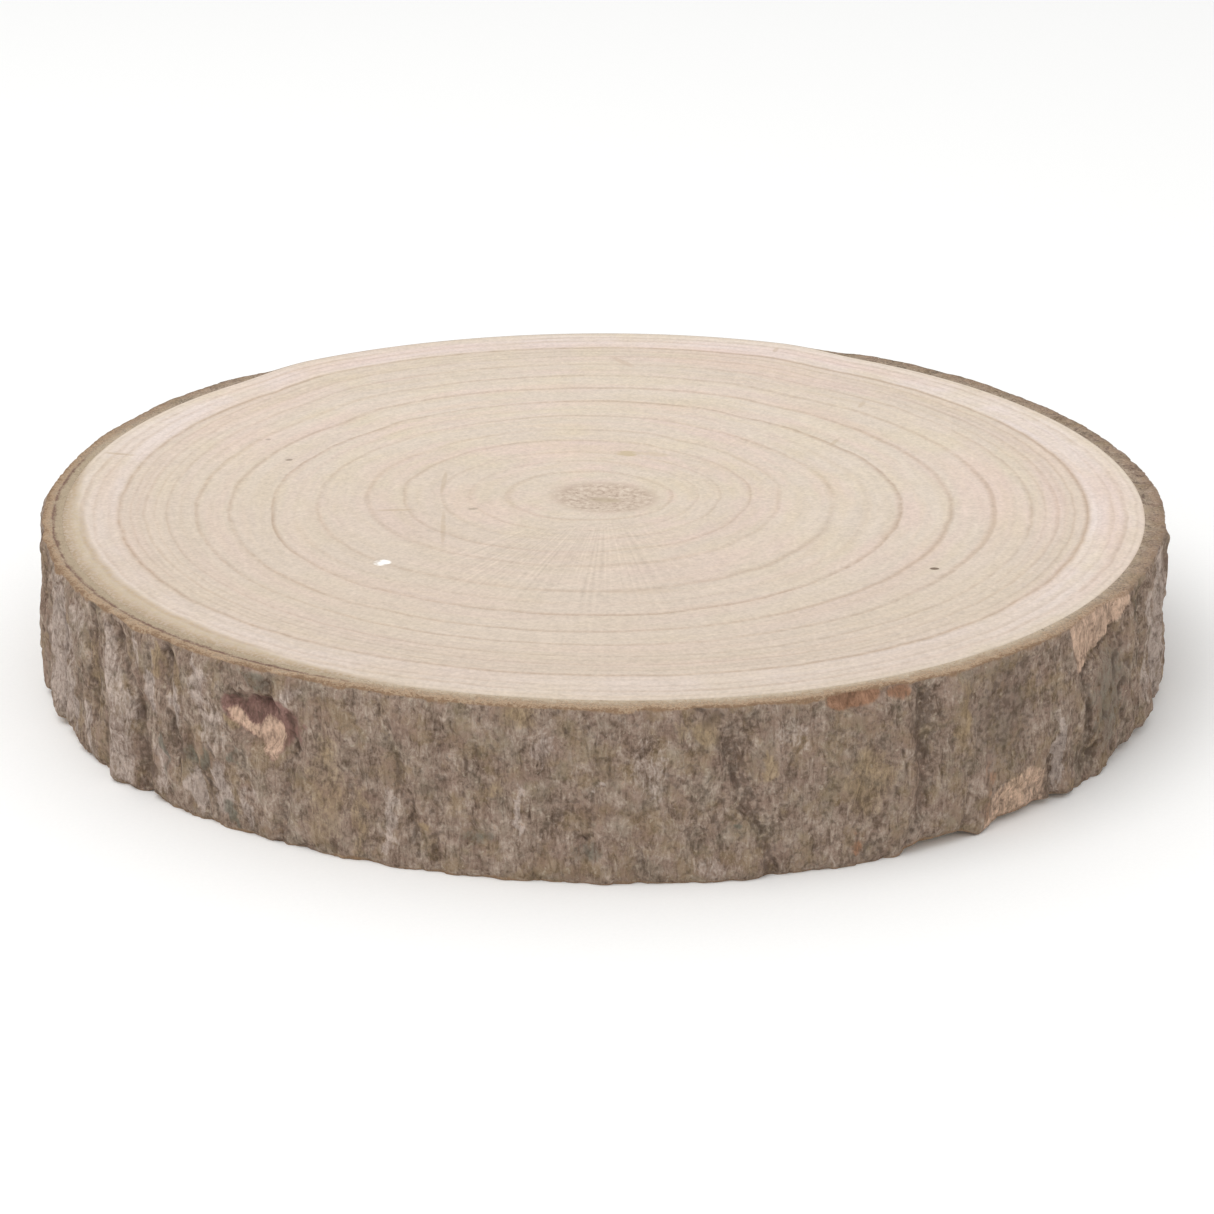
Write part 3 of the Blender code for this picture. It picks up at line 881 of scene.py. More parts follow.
@dataclass(frozen=True)
class SawnWood:
    """Pale, dry, unvarnished hardwood, sawn across the grain and left rough.

    It has no shine. Cut across, each year shows as a thin darker line with finer lines beside it, rays
    run out from the pith, and the last years, the sapwood, are paler and pinker than the heart.
    """

    pores: float = 0.75 * MM
    fuzz: float = 1.5 * MM
    casts: float = 14.0 * MM
    waviness: float = 9.0 * MM
    wave_height: float = 0.012
    roughness: float = 0.78
    specular: float = 0.2
    line_weight: float = 0.7
    pith_flecks: float = 1.3 * MM
    pith_stops: tuple[tuple[float, str], ...] = (
        (0.36, "#a89484"),
        (0.45, "#bdaa99"),
        (0.55, "#cbbaa9"),
        (0.66, "#d8c9b8"),
    )
    late_wood: str = "#ab917a"
    # The colour of the painted shade that darkens the face towards its front-left.
    painted_shade: str = "#c8b8a8"
    pith_core: str = "#b7a68f"
    heart_stops: tuple[tuple[float, str], ...] = (
        (0.00, "#d0c1b1"),
        (0.14, "#d4c6b6"),
        (0.30, "#d2c3b4"),
        (0.48, "#d5c7b8"),
        (0.70, "#d6c8b9"),
        (0.86, "#d3c4b5"),
        (0.895, "#d3c3b5"),
        (0.905, "#ded0c8"),
        (0.94, "#dfd1c9"),
        (0.97, "#dfd1c6"),
        (1.00, "#d8cab9"),
    )
    olive_stops: tuple[tuple[float, str], ...] = (
        (0.958, "#b49f82"),
        (0.966, "#c3b39b"),
        (0.985, "#b5a289"),
        (1.00, "#9a846c"),
    )

    def make(self) -> bpy.types.Material:
        """Build the material."""
        material, add = start_material("sawn_wood")
        place = add("TexCoord", output="Object")
        around = add("Attribute", output="Vector", attribute_name="ring_place")
        growth = self.wavy_growth(add, place)
        lines = self.ring_lines(add, growth, around)
        grain = self.fine_grain(add, place, around)
        colour = self.plain_colour(add, place, around, growth)
        colour = add("MixRGB", {"Fac": lines, "Color1": colour, "Color2": srgb(self.late_wood)})
        colour = add("MixRGB", {"Fac": 1.0, "Color1": colour, "Color2": grain}, blend_type="MULTIPLY")
        colour = self.pith_colour(add, place, colour)
        rough = add("TexNoise", {"Vector": place, "Scale": 1.0 / self.fuzz, "Detail": 2.0})
        rough = add("MapRange", {0: rough, LOW: 0.36, HIGH: 0.56, TO_LOW: 0.3})
        for mark in MARKS:
            colour = self.marked(add, place, rough, colour, mark)
        relief = add("Math", {0: lines, 1: -0.6, 2: grain}, operation="MULTIPLY_ADD")
        bump = add("Bump", {"Height": relief, "Distance": 0.25 * MM, "Strength": 0.5})
        feed_shader(material, colour, bump, self.roughness, self.specular)
        return material

    def wavy_growth(self, add: Callable[..., Socket], place: Socket) -> Socket:
        """The growth, a little unsteady, as real ring lines are."""
        growth = add("Attribute", output="Fac", attribute_name="growth")
        wave = add("TexNoise", {"Vector": place, "Scale": 1.0 / self.waviness, "Detail": 4.0})
        centred = add("Math", {0: wave, 1: 0.5}, operation="SUBTRACT")
        return add("Math", {0: centred, 1: self.wave_height, 2: growth}, operation="MULTIPLY_ADD")

    def ring_lines(self, add: Callable[..., Socket], growth: Socket, around: Socket) -> Socket:
        """How dark the ring lines are, from 0 to 1: each fades in from within and is broken into dots.

        Args:
            add: adds a node to the material.
            growth: the growth, made a little unsteady.
            around: the way from the pith and the growth, as a vector.

        Returns:
            The darkness of the lines.
        """
        dark = add("Attribute", output="Fac", attribute_name="ring_dark")
        weight = dark
        # Long stretches that are weaker or stronger, and dots.
        for scale, detail, height in (((2.5, 2.5, 26.0), 3.0, 1.6), ((40.0, 40.0, 60.0), 2.0, 1.7)):
            uneven = add("Mapping", {"Vector": around, "Scale": scale})
            uneven = add("TexNoise", {"Vector": uneven, "Scale": 1.0, "Detail": detail})
            uneven = add("Math", {0: uneven, 1: 0.5}, operation="SUBTRACT")
            weight = add("Math", {0: uneven, 1: height, 2: weight}, operation="MULTIPLY_ADD")
        weight = add("Math", {0: weight, 1: self.line_weight}, operation="ADD", use_clamp=True)
        lines = None
        for start in range(0, len(RING_LINES), RAMP_LINES):
            stops = []
            for line in RING_LINES[start:start + RAMP_LINES]:
                stops.append((line.growth - line.width, 0.0))
                stops.append((line.growth, line.strength))
                stops.append((line.growth + 0.4 * line.width, 0.0))
            some = add("ValToRGB", {"Fac": growth}, stops=stops)
            lines = some if lines is None else add("Math", {0: lines, 1: some}, operation="MAXIMUM")
        return add("Math", {0: lines, 1: weight}, operation="MULTIPLY", use_clamp=True)

    def fine_grain(self, add: Callable[..., Socket], place: Socket, around: Socket) -> Socket:
        """How bright the fine grain is: faint rings, rays, fuzz and pores, about 1 on average.

        Args:
            add: adds a node to the material.
            place: the place on the piece.
            around: the way round the ring and the growth, as a vector.

        Returns:
            The share that the colour is multiplied by.
        """
        fan = add("Attribute", output="Fac", attribute_name="fan")
        total = None
        # For each noise: the vector it reads, its scale, its detail, its height and what limits it.
        textures = (
            (around, (2.0, 2.0, 85.0), 2.0, 0.065, None),
            (around, (1.2, 1.2, 14.0), 2.0, 0.045, None),
            (around, (70.0, 70.0, 2.0), 2.0, 0.150, fan),
            (around, (26.0, 26.0, 90.0), 2.0, 0.080, None),
            (place, (1.0 / self.pores,) * 3, 2.0, 0.150, None),
            (place, (1.0 / self.fuzz,) * 3, 3.0, 0.080, None),
        )
        for vector, scale, detail, height, share in textures:
            scaled = add("Mapping", {"Vector": vector, "Scale": scale})
            value = add("TexNoise", {"Vector": scaled, "Scale": 1.0, "Detail": detail})
            value = add("Math", {0: value, 1: 0.5}, operation="SUBTRACT")
            if share is not None:
                value = add("Math", {0: value, 1: share}, operation="MULTIPLY")
            start = 1.0 if total is None else total
            total = add("Math", {0: value, 1: 2.0 * height, 2: start}, operation="MULTIPLY_ADD")
        return total

    def plain_colour(
        self, add: Callable[..., Socket], place: Socket, around: Socket, growth: Socket
    ) -> Socket:
        """The wood's colour without its lines: heart, sapwood, faint yellow and pink casts, and painted shade
        towards the front-left.

        Args:
            add: adds a node to the material.
            place: the place on the piece.
            around: the way from the pith and the growth, as a vector.
            growth: the growth, made a little unsteady.

        Returns:
            The colour.
        """
        colour = add("ValToRGB", {"Fac": growth}, stops=self.heart_stops)
        broad = 1.0 / self.casts
        # For each cast: the vector its noise reads, the noise's scale, its colour and its greatest share.
        for vector, scale, cast, most in (
            (place, (broad, broad, broad), "#d6c8b0", 0.45),
            (around, (1.6, 1.6, 17.0), "#dac3b8", 0.60),
            (around, (2.4, 2.4, 44.0), "#d3c1a6", 0.25),
        ):
            scaled = add("Mapping", {"Vector": vector, "Scale": scale})
            value = add("TexNoise", {"Vector": scaled, "Scale": 1.0, "Detail": 6.0})
            value = add("MapRange", {0: value, LOW: 0.46, HIGH: 0.66, TO_HIGH: most})
            colour = add("MixRGB", {"Fac": value, "Color1": colour, "Color2": srgb(cast)})
        # Painted shade: the face is mixed towards a darker, greyer colour towards its front-left.
        painted_shade = add("Attribute", output="Fac", attribute_name="painted_shade")
        colour = add("MixRGB", {"Fac": painted_shade, "Color1": colour, "Color2": srgb(self.painted_shade)})
        olive = add("ValToRGB", {"Fac": growth}, stops=self.olive_stops)
        share = add("Attribute", output="Fac", attribute_name="olive")
        share = add("Math", {0: share, 1: 0.045, 2: growth}, operation="MULTIPLY_ADD")
        share = add("MapRange", {0: share, LOW: 0.993, HIGH: 1.008})
        speckle = add("TexNoise", {"Vector": place, "Scale": 1.0 / self.pores, "Detail": 3.0})
        speckle = add("MapRange", {0: speckle, LOW: 0.40, HIGH: 0.60, TO_LOW: 0.5, TO_HIGH: 1.1})
        share = add("Math", {0: share, 1: speckle}, operation="MULTIPLY", use_clamp=True)
        return add("MixRGB", {"Fac": share, "Color1": colour, "Color2": olive})

    def pith_colour(self, add: Callable[..., Socket], place: Socket, colour: Socket) -> Socket:
        """Lay the flecked grey-brown pith, with its olive core, over the wood's colour.

        Args:
            add: adds a node to the material.
            place: the place on the piece.
            colour: the colour so far.

        Returns:
            The colour with the pith.
        """
        flecks = add(
            "TexNoise",
            {"Vector": place, "Scale": 1.0 / self.pith_flecks, "Detail": 6.0, "Roughness": 0.65},
        )
        flecked = add("ValToRGB", {"Fac": flecks}, stops=self.pith_stops)
        pith = ragged_share(add, "pith", flecks, 1.6, (1.05, 1.55), 0.9)
        core = ragged_share(add, "pith_core", flecks, 1.6, (1.1, 1.7), 0.75)
        colour = add("MixRGB", {"Fac": pith, "Color1": colour, "Color2": flecked})
        return add("MixRGB", {"Fac": core, "Color1": colour, "Color2": srgb(self.pith_core)})

    def marked(
        self, add: Callable[..., Socket], place: Socket, rough: Socket, colour: Socket, mark: Mark
    ) -> Socket:
        """Lay one small mark with a ragged edge over the sawn face's colour.

        Args:
            add: adds a node to the material.
            place: the place on the piece.
            rough: rough noise from 0 to 1, which breaks the mark.
            colour: the colour so far.
            mark: the mark.

        Returns:
            The colour with the mark.
        """
        local = add(
            "Mapping",
            {
                "Vector": place,
                "Location": (mark.x * MM, mark.y * MM, CAD_BOX[1].z),
                "Rotation": (0.0, 0.0, math.radians(mark.turn)),
                "Scale": (mark.half_length * MM, mark.half_width * MM, 10.0 * MM),
            },
            vector_type="TEXTURE",
        )
        share = add("TexGradient", {"Vector": local}, output="Fac", gradient_type="SPHERICAL")
        share = add("Math", {0: share, 1: rough}, operation="MULTIPLY")
        share = add("MapRange", {0: share, LOW: 0.05, HIGH: 0.3, TO_HIGH: mark.strength})
        return add("MixRGB", {"Fac": share, "Color1": colour, "Color2": srgb(mark.colour)})


@dataclass(frozen=True)
class WeatheredBark:
    """The dry, weathered bark of a young tree: grey-brown cork over tan inner bark.

    It is matt and fibrous: short upright fibres, crumbs and pits over a mottle of grey, mauve and ochre,
    with painted shade in its furrows, its pits and the hollows of its bump. Where scales came off, the inner
    bark shows peach and tan, and in the cut ring it is tan with a thin dark line between that and an olive
    strip next to the wood.
    """

    fibres: float = 0.95 * MM
    fibre_stretch: float = 0.32
    mottles: float = 4.6 * MM
    crumbs: float = 0.55 * MM
    pits: float = 1.2 * MM
    casts: float = 6.0 * MM
    swirl: float = 1.1
    # The near-black brown of the painted shade in the bark's furrows and pits.
    pit_shade: str = "#4c3e34"
    speck: str = "#c4b5a2"
    seam: str = "#76594f"
    bast: str = "#b8a68d"
    roughness: float = 0.92
    specular: float = 0.12
    cork_stops: tuple[tuple[float, str], ...] = (
        (0.37, "#5e4e42"),
        (0.43, "#7d6a5c"),
        (0.49, "#968273"),
        (0.55, "#aa9788"),
        (0.62, "#c4b2a3"),
    )
    cast_colours: tuple[tuple[str, float], ...] = (("#98825f", 0.40), ("#86816f", 0.25), ("#9a8072", 0.40))
    cut_stops: tuple[tuple[float, str], ...] = (
        (0.00, "#cdbca6"),
        (0.20, "#c6b39b"),
        (0.40, "#bda78e"),
        (0.54, "#a9927c"),
        (0.68, "#c0a68b"),
        (0.84, "#b89d82"),
        (1.00, "#947960"),
    )
    tones: tuple[tuple[Tone, str, float], ...] = (
        (Tone.PALE, "#b3a399", 0.80),
        (Tone.OCHRE, "#9a8466", 0.65),
        (Tone.SLATE, "#6c695d", 0.75),
        (Tone.RUSSET, "#957058", 0.90),
        (Tone.RED, "#7f5d56", 0.80),
        (Tone.INNER, "#c8aa94", 0.92),
        (Tone.DARK, "#52433a", 0.60),
    )

    def make(self) -> bpy.types.Material:
        """Build the material."""
        material, add = start_material("weathered_bark")
        place = add("TexCoord", output="Object")
        upright = add("Mapping", {"Vector": place, "Scale": (1.0, 1.0, self.fibre_stretch)})
        noises = []
        for vector, size, detail, swirl in (
            (upright, self.fibres, 5.0, self.swirl),
            (place, self.mottles, 7.0, self.swirl),
            (place, self.crumbs, 2.0, 0.0),
        ):
            inputs = {"Vector": vector, "Scale": 1.0 / size, "Detail": detail, "Roughness": 0.62}
            noises.append(add("TexNoise", inputs | {"Distortion": swirl}))
        fibres, mottles, crumbs = noises
        # The mottle's value is also the bump's height below, so darker cork lies in the bump's hollows:
        # partly the bark's own mottle, partly painted shade.
        value = add("Math", {0: fibres, 1: 0.42}, operation="MULTIPLY")
        value = add("Math", {0: mottles, 1: 0.42, 2: value}, operation="MULTIPLY_ADD")
        value = add("Math", {0: crumbs, 1: 0.16, 2: value}, operation="MULTIPLY_ADD")
        colour = self.cork_colour(add, place, value)
        # grain scales each tone by the same value, so the tones too are darker in the bump's hollows: partly
        # their own mottle, partly painted shade.
        grain = add("MapRange", {0: value, LOW: 0.41, HIGH: 0.59, TO_LOW: 0.62, TO_HIGH: 1.38})
        for tone, code, most in self.tones:
            share = ragged_share(add, tone.value, value, 2.4, (1.45, 1.95), most)
            inputs = {"Fac": 1.0, "Color1": grain, "Color2": srgb(code)}
            toned = add("MixRGB", inputs, blend_type="MULTIPLY")
            colour = add("MixRGB", {"Fac": share, "Color1": colour, "Color2": toned})
        colour = self.cut_colour(add, crumbs, mottles, colour)
        relief = add("Math", {0: value, 1: 2.0}, operation="MULTIPLY")
        bump = add("Bump", {"Height": relief, "Distance": 1.2 * MM, "Strength": 0.8})
        feed_shader(material, colour, bump, self.roughness, self.specular)
        return material

    def cork_colour(self, add: Callable[..., Socket], place: Socket, value: Socket) -> Socket:
        """The mottled grey-brown of the outer bark, with painted shade in its furrows and pits, and light
        crumbs.

        Args:
            add: adds a node to the material.
            place: the place on the piece.
            value: how light the mottle is.

        Returns:
            The colour.
        """
        colour = add("ValToRGB", {"Fac": value}, stops=self.cork_stops)
        for number, (cast, most) in enumerate(self.cast_colours):
            moved = add("Mapping", {"Vector": place, "Location": (number * 3.0,) * 3})
            inputs = {"Vector": moved, "Scale": 1.0 / self.casts, "Detail": 9.0, "Roughness": 0.68}
            share = add("TexNoise", inputs)
            share = add("MapRange", {0: share, LOW: 0.49, HIGH: 0.60, TO_HIGH: most})
            colour = add("MixRGB", {"Fac": share, "Color1": colour, "Color2": srgb(cast)})
        # Painted shade: the bark is mixed towards a near-black brown where its furrows sink deep, and in dark
        # pits that the noise scatters.
        cavity_shade = add("Attribute", output="Fac", attribute_name="cavity_shade")
        specks = add("TexNoise", {"Vector": place, "Scale": 1.0 / self.pits, "Detail": 4.0})
        deep = add("Math", {0: cavity_shade, 1: -0.22, 2: specks}, operation="MULTIPLY_ADD")
        deep = add("MapRange", {0: deep, LOW: 0.42, HIGH: 0.24, TO_HIGH: 0.52})
        colour = add("MixRGB", {"Fac": deep, "Color1": colour, "Color2": srgb(self.pit_shade)})
        light = add("MapRange", {0: specks, LOW: 0.64, HIGH: 0.72, TO_HIGH: 0.5})
        return add("MixRGB", {"Fac": light, "Color1": colour, "Color2": srgb(self.speck)})

    def cut_colour(
        self, add: Callable[..., Socket], crumbs: Socket, mottles: Socket, colour: Socket
    ) -> Socket:
        """Lay the tan ring, where the saw cut the bark, over the bark's colour.

        Args:
            add: adds a node to the material.
            crumbs: the fine crumbs.
            mottles: the broad mottles.
            colour: the colour so far.

        Returns:
            The colour with the cut ring.
        """
        across = add("Attribute", output="Fac", attribute_name="across")
        rough = add("Math", {0: crumbs, 1: mottles}, operation="ADD")
        uneven = add("Math", {0: rough, 1: 1.0}, operation="SUBTRACT")
        uneven = add("Math", {0: uneven, 1: 1.4, 2: across}, operation="MULTIPLY_ADD")
        ring = add("ValToRGB", {"Fac": uneven}, stops=self.cut_stops)
        bright = add("MapRange", {0: crumbs, LOW: 0.3, HIGH: 0.7, TO_LOW: 0.86, TO_HIGH: 1.14})
        inputs = {"Fac": 1.0, "Color1": bright, "Color2": ring}
        ring = add("MixRGB", inputs, blend_type="MULTIPLY")
        bast = ragged_share(add, "bast", rough, 1.0, (1.4, 1.9), 0.85)
        ring = add("MixRGB", {"Fac": bast, "Color1": ring, "Color2": srgb(self.bast)})
        seam = ragged_share(add, "seam", rough, 1.5, (1.8, 2.5), 0.85)
        ring = add("MixRGB", {"Fac": seam, "Color1": ring, "Color2": srgb(self.seam)})
        cut = ragged_share(add, "cut", rough, 0.7, (1.0, 1.4))
        return add("MixRGB", {"Fac": cut, "Color1": colour, "Color2": ring})


@dataclass(frozen=True)
class PaperFloor:
    """A smooth, matt, near-white paper floor."""

    colour: str = "#fafaf9"
    light_colour: str = "#fcfcfb"
    fibre: float = 0.8 * MM
    roughness: float = 0.9
    specular: float = 0.1

    def make(self) -> bpy.types.Material:
        """Build the material."""
        material, add = start_material("paper_floor")
        place = add("TexCoord", output="Object")
        fibres = add("TexNoise", {"Vector": place, "Scale": 1.0 / self.fibre, "Detail": 2.0})
        bump = add("Bump", {"Height": fibres, "Distance": 0.02 * MM, "Strength": 0.3})
        stops = ((0.3, self.colour), (0.7, self.light_colour))
        colour = add("ValToRGB", {"Fac": fibres}, stops=stops)
        feed_shader(material, colour, bump, self.roughness, self.specular)
        return material


@dataclass(frozen=True)
class WoodDisc:
    """The sawn wood inside the bark, with the shallow hollow of the pith in its upper face."""

    rings: GrowthRings
    steps: int = 432 // SPLITS
    face_loops: int = 100 // SPLITS
    underside_loops: int = 36 // SPLITS
    pith_half_size: tuple[float, float] = (14.5 * MM, 12.0 * MM)
    pith_tilt: float = -20.0
    pith_depth: float = 0.7 * MM
    core_half_size: tuple[float, float] = (5.5 * MM, 2.2 * MM)
    core_slant: float = 0.1
    edge_round: float = 0.25 * MM
    fan_bearing: float = -95.0
    fan_half_angle: float = 42.0
    least_fan: float = 0.2
    fan_growths: tuple[float, float, float, float] = (0.15, 0.25, 0.40, 0.62)
    olive_bearing: float = -150.0
    olive_half_angle: float = 44.0
    # How strong the painted shade on the face is, and the direction, to the front-left, in which it grows.
    most_painted_shade: float = 0.55
    painted_shade_towards: tuple[float, float] = (-0.35, -0.8)

    def build(self) -> bpy.types.Object:
        """Model the disc, from its section to its finish."""
        trunk = self.rings.trunk
        piece = upright_section("sawn_wood", 0.0, trunk.mean_radius, trunk.thickness)
        select_edges(piece, 0, 0.0)
        bpy.ops.mesh.delete(type="EDGE")
        sides = ((2, trunk.thickness, self.face_loops), (2, 0.0, self.underside_loops))
        split_sides(piece, sides)
        turn_section(piece, self.steps)
        self.shape(piece)
        finish_piece(piece, SawnWood().make(), "wood")
        return piece

    def shape(self, piece: bpy.types.Object) -> None:
        """Move the even disc's points to their places, and store what the finish reads.

        Args:
            piece: the even disc.
        """
        even = read_points(piece)
        trunk = self.rings.trunk
        bearing = np.degrees(np.arctan2(even[:, 1], even[:, 0]))
        growth = np.hypot(even[:, 0], even[:, 1]) / trunk.mean_radius
        xy = self.rings.places(growth, bearing)
        on_face = smooth_step(0.9, 1.0, even[:, 2] / trunk.thickness)
        offset = xy - np.array(self.rings.pith)
        tilt = math.radians(self.pith_tilt)
        along = offset[:, 0] * math.cos(tilt) + offset[:, 1] * math.sin(tilt)
        over = offset[:, 1] * math.cos(tilt) - offset[:, 0] * math.sin(tilt)
        lumps = noise_field(np.column_stack([xy, even[:, 2]]), 3.5 * MM)
        reach = np.hypot(along / self.pith_half_size[0], over / self.pith_half_size[1])
        height = even[:, 2] - on_face * self.pith_depth * (1.0 - smooth_step(0.15, 1.0, reach + 0.15 * lumps))
        height -= on_face * self.edge_round * smooth_step(0.995, 1.0, growth)
        write_points(piece, np.column_stack([xy, height]))
        direction = offset / np.maximum(np.hypot(offset[:, 0], offset[:, 1]), MM)[:, None]
        fan = 1.0 - smooth_step(0.4, 1.0, angle_share(bearing, self.fan_bearing, self.fan_half_angle))
        begin, full, fade, end = self.fan_growths
        fan *= smooth_step(begin, full, growth) * (1.0 - smooth_step(fade, end, growth))
        olive = angle_share(bearing, self.olive_bearing, self.olive_half_angle)
        # How far towards the front-left each point lies, for the painted shade that darkens the face there.
        painted_shade = xy @ np.array(self.painted_shade_towards) / trunk.mean_radius
        slanted = over - self.core_slant * along
        core = np.hypot(along / self.core_half_size[0], slanted / self.core_half_size[1])
        columns = {
            "growth": growth,
            "ring_place": np.column_stack([direction, growth]),
            "ring_dark": self.rings.darkness(growth, bearing),
            "painted_shade": self.most_painted_shade * smooth_step(-0.25, 0.6, painted_shade),
            "fan": self.least_fan + fan,
            "olive": 1.0 - smooth_step(0.3, 1.1, olive),
            "pith": 1.0 - smooth_step(0.55, 1.15, reach),
            "pith_core": 1.0 - smooth_step(0.3, 1.1, core),
        }
        write_attributes(piece, columns)


@dataclass(frozen=True)
class BarkRing:
    """The ring of bark round the wood, with its furrows, plates, flakes, chips and fine relief.

    Sizes are in metres where they say MM. The furrows' fall, the heights of scales and fissures and the
    width of the strip are in millimetres.
    """

    trunk: Trunk
    steps: int = 1200 // SPLITS
    side_rows: int = 60 // SPLITS
    top_rows: int = 8 // SPLITS
    underside_rows: int = 4 // SPLITS
    lap: float = 0.4 * MM
    underside_gap: float = 0.1 * MM
    shrink: float = 0.12 * MM
    corner_wear: float = 0.5 * MM
    corner_run: float = 1.6 * MM
    corner_ripples: float = 21.0
    corner_level: float = 6.3
    least_bark: float = 0.7 * MM
    back_bark_swell: float = 1.2 * MM
    back_break: float = 2.4 * MM
    swell_height: float = 0.6 * MM
    swell_length: float = 34.0 * MM
    plate_height: float = 0.6 * MM
    plate_rise: float = 0.9
    furrow_fall: float = 3.5
    furrow_sharpness: float = 4.0
    plate_size: tuple[float, float, float] = (11.0 * MM, 11.0 * MM, 34.0 * MM)
    plate_level: float = 9.0
    far_side: tuple[float, float] = (4.0, 180.0)
    far_furrow_spacing: float = 6.6
    far_patches: int = 46
    far_cracks: int = 60
    seed: int = 31
    fine_sink: float = 0.2 * MM
    scale_size: tuple[float, float, float] = (8.0 * MM, 8.0 * MM, 12.0 * MM)
    scale_levels: float = 2.6
    scale_height: float = 0.32
    fissure_size: tuple[float, float, float] = (6.0 * MM, 6.0 * MM, 21.0 * MM)
    fissure_depth: float = 0.45
    fissure_sharpness: float = 8.0
    crack_depth: float = 0.45 * MM
    warp: float = 0.55
    bends: float = 4.0 * MM
    fine_bends: float = 1.6 * MM
    crack_strength: float = 0.85
    cut_grain: float = 1.5 * MM
    cut_grain_height: float = 0.12 * MM
    # How deep a furrow must sink for its painted shade to be at full strength.
    cavity_shade_depth: float = 1.3 * MM
    scaly_run: float = 8.0
    scaly_bearings: tuple[float, float] = (-146.0, -42.0)
    scaly_boost: float = 0.8
    strip_width: float = 0.5
    seam_bearing: float = -155.0
    seam_half_angle: float = 46.0
    seam_place: float = 0.45
    worn_bearing: float = 60.0
    worn_half_angle: float = 130.0
    most_worn: float = 0.58
    bareness: float = 0.6

    def build(self) -> bpy.types.Object:
        """Model the ring, from its section to its finish."""
        inner = self.trunk.mean_radius - self.trunk.bark_thickness - self.lap
        outer = self.trunk.mean_radius
        piece = upright_section("bark", inner, outer, self.trunk.thickness)
        sides = (
            (0, outer, self.side_rows),
            (2, self.trunk.thickness, self.top_rows),
            (2, 0.0, self.underside_rows),
        )
        split_sides(piece, sides)
        turn_section(piece, self.steps)
        self.shape(piece, inner, outer)
        finish_piece(piece, WeatheredBark().make(), "bark")
        return piece

    def grooves(self) -> tuple[Groove, ...]:
        """The furrows of the near side, and those round the far side, drawn at random as in the source."""
        draw = random.Random(self.seed)
        far = []
        bearing = self.far_side[0]
        while bearing < self.far_side[1]:
            start, stop, slant, width, depth = (draw.uniform(*ends) for ends in FAR_FURROW)
            far.append(Groove(bearing, start, bearing + slant, stop, width, depth))
            bearing += self.far_furrow_spacing * draw.uniform(0.7, 1.3)
        return GROOVES + tuple(far)

    def patches(self) -> list[Patch]:
        """The tones' patches of the near side, and others in the same manner round the far side."""
        near = [Patch(*row, tone) for tone, rows in PATCHES.items() for row in rows]
        draw = random.Random(self.seed + 1)
        far = []
        for number in range(self.far_patches):
            sizes = [draw.uniform(*ends) for ends in FAR_PATCH]
            far.append(Patch(*sizes, FAR_TONES[number % len(FAR_TONES)]))
        return near + far

    def cracks(self) -> tuple[Crack, ...]:
        """The cracks of the near side, and others in the same manner round the far side."""
        draw = random.Random(self.seed + 2)
        far = []
        for _ in range(self.far_cracks):
            points = [tuple(draw.uniform(*ends) for ends in FAR_CRACK_START)]
            for _ in range(draw.randint(1, 3)):
                turn, drop = (draw.uniform(*ends) for ends in FAR_CRACK_STEP)
                points.append((points[-1][0] + turn, points[-1][1] + drop))
            far.append(Crack(draw.uniform(*FAR_CRACK_WIDTH), tuple(points)))
        return CRACKS + tuple(far)

    def chip_rise(self, bearing: np.ndarray) -> np.ndarray:
        """How far the bark's lower corner lies above the underside, in metres."""
        rise = np.zeros_like(bearing)
        for chip in CHIPS:
            share = angle_share(bearing, chip.bearing, chip.half_width)
            rise = np.maximum(rise, chip.rise * MM * (1.0 - smooth_step(0.45, 1.0, share)))
        return rise

    def break_fall(self, bearing: np.ndarray) -> np.ndarray:
        """How far the bark's upper corner lies below the sawn face, in metres."""
        turn = np.radians(bearing)
        level = np.full_like(turn, self.corner_level)
        ripples = np.column_stack([np.cos(turn), np.sin(turn), level / self.corner_ripples])
        wear = self.corner_wear * (0.5 + 0.5 * noise_field(ripples, 1.0 / self.corner_ripples))
        return wear + self.back_break * self.trunk.back_share(bearing)

    def fine_relief(self, surface: np.ndarray) -> np.ndarray:
        """Fibres, crumbs, thin scales and cracks, too fine for the source's facets, in metres.

        Args:
            surface: the points on the even cylinder, with their fall in metres as z.

        Returns:
            The heights.
        """
        relief = np.zeros(len(surface))
        for height, size, shift in FIBRE_LAYERS:
            relief += height * noise_field(surface, np.array(size) * MM, shift)
        scales = self.scale_levels * noise_field(surface, self.scale_size, 17.0)
        steps = np.floor(scales) + smooth_step(0.3, 0.7, scales - np.floor(scales))
        fissures = noise_field(surface, self.fissure_size, 23.0)
        relief += self.scale_height * steps
        relief -= self.fissure_depth * np.maximum(1.0 - self.fissure_sharpness * np.abs(fissures), 0.0)
        return relief * MM

    def shape(self, piece: bpy.types.Object, inner: float, outer: float) -> None:
        """Move the even ring's points to their places, and store what the finish reads.

        Args:
            piece: the even ring.
            inner: its even inner radius.
            outer: its even outer radius.
        """
        even = read_points(piece)
        thickness = self.trunk.thickness
        bearing = np.degrees(np.arctan2(even[:, 1], even[:, 0]))
        turn = np.radians(bearing)
        out = np.clip((np.hypot(even[:, 0], even[:, 1]) - inner) / (outer - inner), 0.0, 1.0)
        up = even[:, 2] / thickness
        low = self.chip_rise(bearing)
        broken = self.break_fall(bearing)
        side_height = low + (thickness - broken - low) * up
        fall = (thickness - side_height) / MM
        surface = np.column_stack([outer * np.cos(turn), outer * np.sin(turn), fall * MM])
        ragged = 0.25 * noise_field(surface, 2.6 * MM, 29.0)

